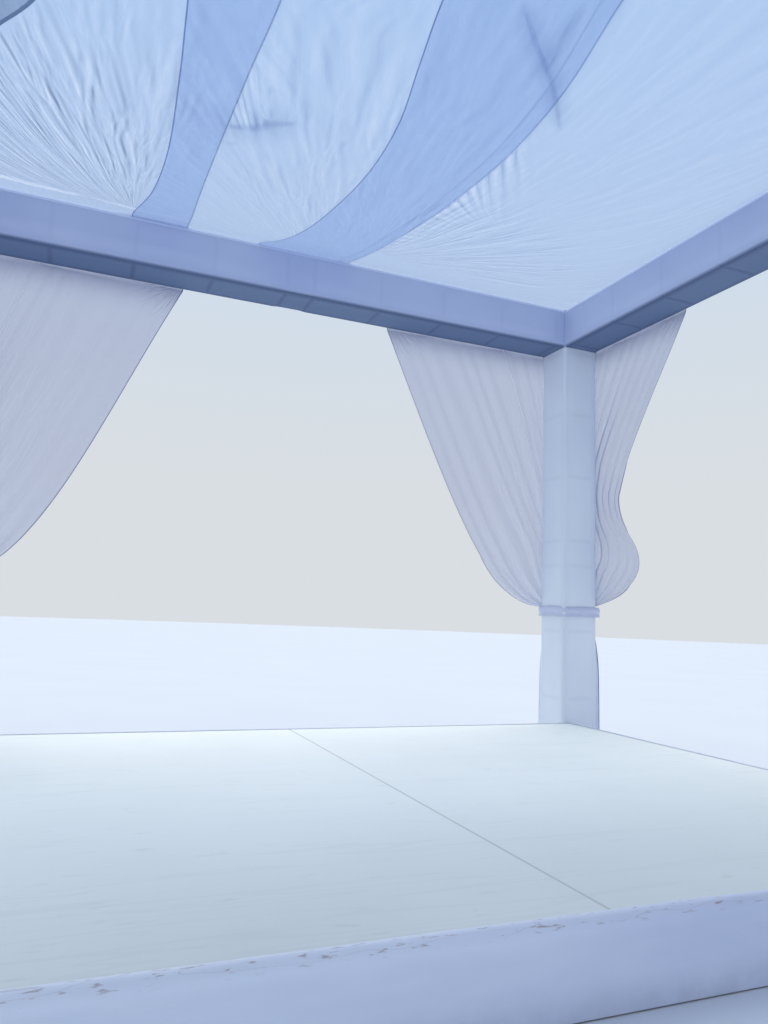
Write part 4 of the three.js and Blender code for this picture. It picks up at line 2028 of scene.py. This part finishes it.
@dataclass
class StageSkirt:
    """Cloth wrapped over one edge of the stage, from a few centimetres in on the felt down to the ground.

    Attributes:
        side: The side's name, as in its CAD node.
        low: Lowest corner of the whole stage.
        high: Highest corner of the whole stage.
        over: How far it stands off the stage's faces at the top.
        wrap: How far it goes round each corner, or 0.
        lap: How far it lies on the felt.
        roll: Radius of its bend over the edge.
        corner: Radius of its bend round a corner.
        foot: Height of its lower edge.
        lean: How far it leans in under the stage at the ground.
        above: How far its taped edge lies above the felt.
        rise: How much higher the cloth rises on its way to the bend.
    """

    side: str
    low: Vector
    high: Vector
    over: float
    wrap: float
    lap: float = 0.034
    roll: float = 0.028
    corner: float = 0.030
    foot: float = 0.004
    lean: float = 0.012
    above: float = 0.0012
    rise: float = 0.003

    @property
    def half(self) -> Vector:
        """Half the stage's width and depth as this skirt's own X and Y, with Y out of the stage."""
        size = (self.high - self.low) / 2
        return Vector((size.x, size.y)) if self.side in ("front", "back") else Vector((size.y, size.x))

    @property
    def reach(self) -> float:
        """Radius of the cloth's outer side where it bends over the edge."""
        return self.roll + self.over

    @property
    def turn_in(self) -> float:
        """The length of the cloth round a quarter of a corner's bend."""
        return self.corner * math.pi / 2

    @property
    def fall(self) -> float:
        """The length of the cloth from its taped edge to the ground."""
        down = self.high.z + self.above + self.rise - self.reach - self.foot
        return self.lap - self.roll + self.reach * math.pi / 2 + down

    @property
    def span(self) -> float:
        """The length of the cloth along the stage's edge."""
        return 2 * (self.half.x - self.corner + (self.turn_in + self.wrap if self.wrap else 0.0))

    def plan(self, travel: float, inward: float, out: float) -> Vector:
        """A point of the skirt seen from above, in its own X and Y.

        Args:
            travel: Distance along the edge from its middle, with the ends past the corners going round them.
            inward: How far in on the felt the point lies.
            out: How far it stands outside the stage's face.

        Returns:
            The point.
        """
        half = self.half
        straight = half.x - self.corner
        sign = math.copysign(1.0, travel)
        beyond = abs(travel) - straight
        if beyond <= 0:
            spot, normal = Vector((travel, half.y)), Vector((0, 1))
        elif beyond <= self.turn_in:
            angle = beyond / self.corner
            normal = Vector((sign * math.sin(angle), math.cos(angle)))
            spot = Vector((sign * straight, half.y - self.corner)) + normal * self.corner
        else:
            normal = Vector((sign, 0))
            spot = Vector((sign * half.x, half.y - self.corner - (beyond - self.turn_in)))
        spot = spot + normal * out
        if inward > 0:
            limit = Vector((half.x - inward, half.y - inward))
            spot = Vector((max(-limit.x, min(limit.x, spot.x)), min(limit.y, spot.y)))
        return spot

    def profile(self, down: float) -> tuple[float, float, float]:
        """How far in, how far out and how high the cloth is at a distance from its taped edge.

        Args:
            down: The distance.

        Returns:
            How far in on the felt, how far out from the stage, and the height.
        """
        top = self.high.z + self.above
        flat = self.lap - self.roll
        bend = self.reach * math.pi / 2
        if down <= flat:
            return self.lap - down, 0.0, top + self.rise * smooth_step(down, 0.0, flat)
        if down <= flat + bend:
            angle = (down - flat) / self.reach
            across = self.roll - self.reach * math.sin(angle)
            height = top + self.rise - self.reach * (1 - math.cos(angle))
            return max(0.0, across), max(0.0, -across), height
        drop = down - flat - bend
        high = top + self.rise - self.reach
        return 0.0, self.over - self.lean * drop / high, high - drop

    def point(self, u: float, v: float) -> ClothPoint:
        """The cloth's point at a share of its span and of its fall.

        Args:
            u: Share of its span.
            v: Share of its fall.

        Returns:
            The cloth's point there.
        """
        travel = (u - 0.5) * self.span
        down = v * self.fall
        inward, out, height = self.profile(down)
        hanging = smooth_step(down, self.lap, self.lap + 0.08) * smooth_step(self.fall - down, 0.0, 0.05)
        wave = 0.0045 * grain(travel * 1.9, height * 6.0, self.over * 90)
        wave += 0.0015 * grain(travel * 7.0, height * 14.0)
        out += hanging * max(-0.6 * self.over, wave)
        if inward > 0:
            inward += 0.004 * grain(travel * 4.0, self.over * 70) * (1 - v * 4)
            height += 0.0012 * (1 + grain(travel * 16.0, down * 40.0)) * smooth_step(down, 0.004, 0.02)
        spot = self.plan(travel, inward, out)
        return ClothPoint(self.to_stage(spot, max(self.foot, height)), (travel + 10.0, down))

    def to_stage(self, spot: Vector, height: float) -> Vector:
        """A point given in the skirt's own X and Y, in the canopy's frame.

        Args:
            spot: The point seen from above.
            height: Its height.

        Returns:
            The point.
        """
        turn = {"back": 0.0, "left": math.pi / 2, "front": math.pi, "right": -math.pi / 2}[self.side]
        turned = Matrix.Rotation(turn, 2) @ spot
        middle = (self.low + self.high) / 2
        return Vector((turned.x + middle.x, turned.y + middle.y, height))

    def build(self) -> None:
        bm = cloth_mesh((round(self.span / 0.02), 34), self.point)
        outward = self.to_stage(Vector((0, 1)), 0) - self.to_stage(Vector((0, 0)), 0)
        skirt = turned_out(bm, outward)
        piece = add_piece(f"skirt_{self.side}", skirt, Finishes.SKIRT, f"deck_skirt_{self.side}")


@dataclass
class Stage:
    """The low stage: two felt-covered panels, four cloth skirts and the timber bearer under the joint.

    Attributes:
        long_over: How far the front and back skirts stand off the stage, over the ends of the other two.
        short_over: How far the left and right skirts stand off.
        wrap: How far the front and back skirts go round the corners.
    """

    long_over: float = 0.014
    short_over: float = 0.007
    wrap: float = 0.05

    def build(self) -> None:
        """Makes the panels and skirts and gives the bearer its finish."""
        low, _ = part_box("deck_panel_left")
        _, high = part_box("deck_panel_right")
        for node in ("deck_panel_left", "deck_panel_right"):
            StagePanel(node).build()
        ground = Vector((low.x, low.y, 0.0))
        for side in ("front", "back"):
            StageSkirt(side, ground, high, self.long_over, self.wrap).build()
        for side in ("left", "right"):
            StageSkirt(side, ground, high, self.short_over, 0.0).build()
        dress("deck_bearer", Finishes.PINE)


# Studio and camera


@dataclass
class Studio:
    """A plain pale floor, a pale surround that is bluer overhead, and one wide soft light from the back.

    Attributes:
        horizon: The surround's colour near the horizon.
        overhead: Its colour overhead.
        front: Its colour in front.
        floor: Radius of the floor.
        sun_power: Strength of the light.
        sun_wide: How wide the light looks, in degrees.
        sun_colour: Its colour.
        sun_turn: The light's turn about X and about Y from straight down, in degrees.
    """

    horizon: str = "#D9DEE2"
    overhead: str = "#C1DBF7"
    front: str = "#C2CCE0"
    floor: float = 60.0
    sun_power: float = 2.0
    sun_wide: float = 70.0
    sun_colour: str = "#FFF6EC"
    sun_turn: Pair = (-38.0, 14.0)

    def build(self) -> None:
        """Makes the floor, the surround and the light."""
        self.build_floor()
        self.build_surround()
        self.build_light()

    def build_floor(self) -> None:
        """A round floor just under the canopy's feet."""
        bm = bmesh.new()
        bmesh.ops.create_circle(bm, cap_ends=True, segments=96, radius=self.floor)
        link_mesh("floor", bm, Finishes.FLOOR)

    def build_surround(self) -> None:
        """A world that goes from pale at the horizon to bluer overhead, and is a little dimmer in front."""
        world = bpy.data.worlds.new("studio")
        world.use_nodes = True
        world.node_tree.nodes.clear()
        add = partial(add_node, world.node_tree)
        direction = add("TexCoord", out="Generated")
        back = add("SeparateXYZ", direction, out="Y")
        up = add("SeparateXYZ", direction, out="Z")
        overhead = add("MapRange", up, 0.10, 0.80, **SOFT)
        in_front = add("MapRange", back, 0.25, -0.55, **SOFT)
        colour = tinted(add, self.horizon, (overhead, self.overhead), (in_front, self.front))
        add("OutputWorld", add("Background", colour, 1.0))
        bpy.context.scene.world = world

    def build_light(self) -> None:
        """A very wide sun lamp, high up behind the canopy, that casts only soft shade."""
        lamp = bpy.data.lights.new("softbox", "SUN")
        lamp.energy = self.sun_power
        lamp.angle = math.radians(self.sun_wide)
        lamp.color = linear(self.sun_colour)[:3]
        light = bpy.data.objects.new("softbox", lamp)
        light.rotation_euler = (*(math.radians(turn) for turn in self.sun_turn), 0)
        bpy.context.scene.collection.objects.link(light)


@dataclass
class ViewPoint:
    """The camera, at the photograph's place and angle.

    Attributes:
        place: Where it stands.
        heading: Degrees from +Y to +X that it looks.
        tilt: Degrees that it looks up.
        roll: Degrees that it leans, with its right side up.
        focal: Focal length in pixels of the photograph's frame.
        frame_height: Height of the photograph's frame in pixels.
    """

    place: Vector
    heading: float = 22.0
    tilt: float = 7.8
    roll: float = 2.13
    focal: float = 765.0
    frame_height: float = 1024.0

    def build(self) -> None:
        """Makes the camera and gives it to the scene."""
        heading, tilt, roll = (math.radians(a) for a in (self.heading, self.tilt, self.roll))
        level = Vector((math.sin(heading), math.cos(heading), 0))
        right = Vector((math.cos(heading), -math.sin(heading), 0))
        forward = level * math.cos(tilt) + Vector((0, 0, math.sin(tilt)))
        upright = right.cross(forward)
        leaned_right = right * math.cos(roll) + upright * math.sin(roll)
        leaned_up = upright * math.cos(roll) - right * math.sin(roll)
        lens = bpy.data.cameras.new("viewpoint")
        lens.sensor_width = 36.0
        lens.lens = self.focal / self.frame_height * lens.sensor_width
        lens.clip_start, lens.clip_end = 0.05, 200.0
        camera = bpy.data.objects.new("viewpoint", lens)
        turned = Matrix((leaned_right, leaned_up, -forward)).transposed().to_4x4()
        camera.matrix_world = Matrix.Translation(self.place) @ turned
        bpy.context.scene.collection.objects.link(camera)
        bpy.context.scene.camera = camera


@dataclass
class Canopy:
    """The whole canopy: its sleeved frame, roof, curtains, ties and stage."""

    sizes: FrameSizes

    def build(self) -> None:
        """Makes every part in turn."""
        SleevedFrame(self.sizes).build()
        Roof(self.sizes).build()
        for side in SIDES:
            for curtain in side.curtains(self.sizes):
                curtain.build()
        for quarter, name in enumerate(CORNERS):
            centre = middle_of(f"post_{name}")
            centre.z = 0.0
            TieBand(name, centre, quarter * math.pi / 2, self.sizes).build()
        Stage().build()


def main() -> None:
    """Builds the canopy and its studio."""
    logging.basicConfig(level=logging.INFO, format="%(name)s: %(message)s")
    bpy.context.scene.view_settings.view_transform = "Standard"
    ViewPoint(Vector((-1.377, -2.806, 0.975))).build()
    Studio().build()
    Canopy(SIZES).build()


if __name__ == "__main__":
    main()
